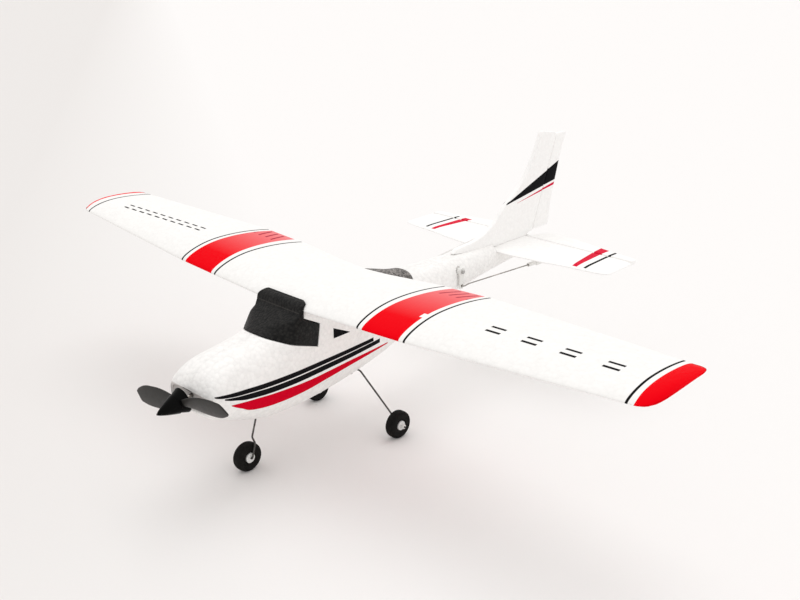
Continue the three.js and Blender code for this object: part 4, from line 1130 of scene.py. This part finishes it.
def build_tail():
    trail = ELEVATOR_HINGE_Y - 0.7
    port = smooth_outline(STAB_LEAD, 1, 7)
    outline = [*mirrored(port[1:]), *port, (TAIL_HALF_SPAN, trail), (-TAIL_HALF_SPAN, trail)]
    stab = panel("tailplane", outline, trail, STAB_HALF, 13)
    finish_piece(stab, white_stab, "horizontal_stabilizer")

    fin = plate("fin", smooth_outline(FIN_OUTLINE, 1, 15), "x", FIN_HALF, 1.3)
    finish_piece(fin, white_fin, "vertical_fin")

    outline = [*ELEVATOR_PORT, *mirrored(ELEVATOR_PORT[1:-1])]
    elevator = plate("elevator_panel", outline, "z", ELEVATOR_HALF, 0.5)
    for v in elevator.data.vertices:
        back = clamp((v.co.y / MM - ELEVATOR_FRONT_Y) / 20)
        v.co.z = v.co.z * lerp(1.65, 0.65, back) + STAB_MID_Z * MM
    finish_piece(elevator, white_stab, "elevator", body="elevator")

    rudder = plate("rudder_panel", RUDDER_OUTLINE, "x", RUDDER_HALF, 1.1)
    finish_piece(rudder, white_fin, "rudder", body="rudder")


# ---- propeller and spinner ----
# Radius, front edge and rear edge across the blade, pitch in degrees, thickness.
BLADE = [
    (3, 2.6, -2.8, 34, 2.4), (8, 3.6, -3.4, 29, 2.2), (12, 4.6, -4.4, 24, 1.9), (16, 5.3, -5.4, 20, 1.7),
    (20, 5.8, -6.2, 17, 1.5), (25, 6.0, -6.9, 14.5, 1.35), (30, 5.9, -7.2, 12.5, 1.25),
    (35, 5.5, -7.4, 11.5, 1.15), (39, 5.0, -7.1, 10.5, 1.05), (42, 4.3, -6.5, 10, 0.95),
    (45, 3.6, -5.6, 10, 0.85), (46.6, 2.4, -5.1, 10, 0.75), (47.8, 0.3, -4.5, 10, 0.65),
    (49, -2.4, -3.6, 10, 0.5),
]
BLADE_END = 49
BLADE_PLANE = -4.8


def blade_rings():
    """Sections of one blade from the hub to its tip, flat behind and bulged in front."""
    curves = [smooth_curve([(row[0], row[k]) for row in BLADE]) for k in range(1, 5)]
    rings = []
    for i in range(55):
        radius = lerp(3, BLADE_END, i / 54)
        top, foot, pitch, thick = [curve(radius) for curve in curves]
        pitch = math.radians(pitch)
        ring = []
        for k in range(40):
            a = math.tau * k / 40
            place = math.cos(a)
            along = lerp(foot, top, (place + 1) / 2)
            crown = math.sin(a)
            across = (crown * 0.5 + 0.32 * (1 - place * place)) * thick
            y = BLADE_PLANE - along * math.sin(pitch) - across * math.cos(pitch)
            z = along * math.cos(pitch) - across * math.sin(pitch)
            ring.append(Vector((radius, y, z)))
        rings.append(ring)
    return rings


def build_propeller():
    length = SPINNER_TIP - SPINNER_BASE
    hub_front = SPINNER_RADIUS * (SPINNER_TIP - HUB_LENGTH) / length
    hub = lathe("propeller_blades", [
        (0, -HUB_LENGTH), (hub_front, -HUB_LENGTH), (SPINNER_RADIUS - 0.12, -SPINNER_BASE - 0.5),
        (SPINNER_RADIUS - 0.2, -SPINNER_BASE - 0.12), (SPINNER_RADIUS - 0.6, -SPINNER_BASE),
        (3, -SPINNER_BASE), (2.8, 0), (0, 0),
    ], "y")
    blade = loft("blade", blade_rings())
    other = copy_of(blade)
    move(other, Matrix.Rotation(math.pi, 4, "Y"))
    combine(hub, [blade, other], "UNION")
    combine(hub, [rod("bore", (0, -9, 0), (0, 1, 0), 1.3)])
    move(hub, Matrix.Rotation(-BLADE_TILT, 4, "Y"))
    along_thrust(hub)
    finish_piece(hub, blade_black, "propeller", "propeller", 35)

    base = -HUB_LENGTH - GAP
    profile = []
    for i in range(25):
        place = lerp(-SPINNER_TIP, base, (i / 24) ** 2)
        share = (SPINNER_TIP + place) / length
        profile.append((SPINNER_RADIUS * share**0.76, place))
    profile.append((0, base))
    spinner = along_thrust(lathe("spinner_cone", profile, "y"))
    finish_piece(spinner, gloss_black, "spinner", "propeller")


# ---- landing gear ----
def build_wheel(name, x, y):
    tyre = lathe(f"{name}_tyre_ring", both_sides([
        (3.35, -3.1), (4.2, -3.35), (6.4, -3.5), (7.9, -3.45), (8.8, -3.1), (9.3, -2.3), (9.5, -1.3),
        (9.518, 0),
    ]), "x", (x, y, AXLE_Z))
    step = tyre.modifiers.new("round", "SUBSURF")
    step.levels = step.render_levels = 1
    apply_modifiers(tyre)
    finish_piece(tyre, tyre_foam, f"{name}_tyre", f"{name}_wheel", 60)
    hub = lathe(f"{name}_hub_disc", both_sides([
        (0.72, -4), (1.5, -4), (1.65, -3.85), (1.65, -3.4), (1.9, -3.2), (2.4, -3.2), (2.6, -3.4),
        (2.7, -3.65), (3.0, -3.65), (3.2, -3.5),
    ]), "x", (x, y, AXLE_Z), 72)
    finish_piece(hub, hub_white, f"{name}_hub", f"{name}_wheel")


def build_collar(name, x, y):
    profile = both_sides([(0.7, -0.8), (1.35, -0.8), (1.5, -0.65)])
    collar = lathe(name + "_ring", profile, "x", (x, y, AXLE_Z), 48)
    finish_piece(collar, nylon, name)


def build_gear_plate():
    """The plate that holds the main wire, trimmed flush with the curve of the belly."""
    low, high = [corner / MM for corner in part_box("main_gear_plate")]
    plate_block = block("gear_plate", low.x, high.x, low.y, high.y, low.z, high.z)
    combine(plate_block, [body_skin(0.1)], "INTERSECT")
    finish_piece(plate_block, nylon, "main_gear_plate")


def build_landing_gear():
    nose = tube("nose_leg", [
        (0, -128.6, 44), (0, -128.4, 33), (0, -132.2, 21.2), (5, -133.8, 19.6),
        (5, NOSE_WHEEL_Y, AXLE_Z), (-6.6, NOSE_WHEEL_Y, AXLE_Z),
    ], WIRE_RADIUS, 1.3)
    finish_piece(nose, wire_steel, "nose_gear_wire")
    leg = [(14.6, -51, 43.9), (34, -41, 14.5), (34, MAIN_WHEEL_Y, AXLE_Z), (46.8, MAIN_WHEEL_Y, AXLE_Z)]
    other_leg = [(-x, y, z) for x, y, z in reversed(leg)]
    main = tube("main_legs", [*other_leg, *leg], WIRE_RADIUS, 1.4)
    finish_piece(main, wire_steel, "main_gear_wire")
    for name, x, y, offset in (
        ("nose", 0, NOSE_WHEEL_Y, -COLLAR_OFFSET),
        ("left", MAIN_WHEEL_X, MAIN_WHEEL_Y, COLLAR_OFFSET),
        ("right", -MAIN_WHEEL_X, MAIN_WHEEL_Y, -COLLAR_OFFSET),
    ):
        build_wheel(name, x, y)
        build_collar(f"{name}_wheel_collar", x + offset, y)


build_wing()
build_canopy()
build_rear_window()
build_hatch()
build_shells()
build_tail()
build_propeller()
build_landing_gear()
build_gear_plate()

# ---- pieces whose solid already has the right shape: rounded edges and their own finish ----
KEPT = {
    nylon: ["nose_gear_block", "spur_gear", *[
        f"{side}_{part}" for side in ("elevator", "rudder")
        for part in ("horn", "clevis", "servo_arm", "servo_case")
    ]],
    bush_tan: ["front_shaft_bush"],
    case_black: ["gearbox_frame", "motor_endcap", "battery_tray"],
    rod_steel: ["elevator_pushrod", "prop_shaft", "motor_shaft"],
    coated_wire: ["rudder_pushrod"],
    screw_steel: ["elevator_arm_screw", "rudder_arm_screw", "gear_plate_screw_left",
                  "gear_plate_screw_right"],
    brass: ["pinion", "rear_shaft_bush"],
    can_steel: ["motor_can"],
    battery_wrap: ["battery_pack"],
    board_green: ["receiver_board"],
    pad_foam: ["receiver_pad"],
    lead_red: ["battery_lead"],
    lead_black: ["motor_lead", "antenna_wire"],
    lead_brown: ["elevator_servo_lead", "rudder_servo_lead"],
}
# Width of the rounding on the edges of some of them, millimetres.
EDGE = {"battery_pack": 1.2, "battery_tray": 0.25, "elevator_servo_case": 0.5, "rudder_servo_case": 0.5,
        "motor_can": 0.3, "motor_endcap": 0.3, "nose_gear_block": 0.3,
        "gearbox_frame": 0.25, "elevator_horn": 0.12, "rudder_horn": 0.12}
for material, nodes in KEPT.items():
    for node in nodes:
        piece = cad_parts[node]
        for holder in piece.material_slots:
            holder.link = "OBJECT"
            holder.material = material
        if node in EDGE:
            bevel(piece, EDGE[node], 2, 40)

# ---- floor, light and camera ----
def aimed(name, data, aim):
    """Puts a lamp or a camera in the scene, looking along the aim."""
    obj = bpy.data.objects.new(name, data)
    obj.rotation_mode = "QUATERNION"
    obj.rotation_quaternion = aim.to_track_quat("-Z", "Y")
    scene.collection.objects.link(obj)
    return obj


corners = [
    (x * FLOOR_HALF, y * FLOOR_HALF, FLOOR_Z) for x, y in ((-1, -1), (1, -1), (1, 1), (-1, 1))
]
floor = new_object("floor", corners, [(0, 1, 2, 3)])
floor_material, tree, shader, spot = start_material("floor_paper")
paper = noise(tree, spot, 1.2, 2.0)
x, y, z = coordinates(tree, spot)
# Painted light falloff: the floor's colour is brighter towards the tail and the port side.
lit_side = clamp_field((x * 0.558 + y * 0.867 + 190) * (1 / 300) + 0.5)
dim = mix_colour(tree, paper, (0.76, 0.74, 0.725), (0.78, 0.76, 0.745))
bright = mix_colour(tree, paper, (0.88, 0.868, 0.86), (0.9, 0.888, 0.88))
feed(shader, "Base Color", mix_colour(tree, lit_side, dim, bright))
shader.inputs["Roughness"].default_value = 0.8
shader.inputs["Specular IOR Level"].default_value = 0.1
floor.data.materials.append(floor_material)

world = bpy.data.worlds.new("studio")
scene.world = world
world.use_nodes = True
sky = world.node_tree.nodes["Background"]
sky.inputs["Color"].default_value = SKY_COLOUR
sky.inputs["Strength"].default_value = SKY_STRENGTH

sun = bpy.data.lights.new("softbox", "SUN")
sun.energy = SOFTBOX_STRENGTH
sun.angle = math.radians(SOFTBOX_ANGLE)
aimed("softbox", sun, SOFTBOX_AIM)

eye = bpy.data.cameras.new("eye")
eye.sensor_width = CAMERA_SENSOR
eye.lens = CAMERA_LENS
eye.clip_start = 0.01
eye.clip_end = 50
scene.camera = aimed("eye", eye, CAMERA_AIM)
scene.camera.location = CAMERA_SPOT
scene.view_settings.view_transform = "Standard"
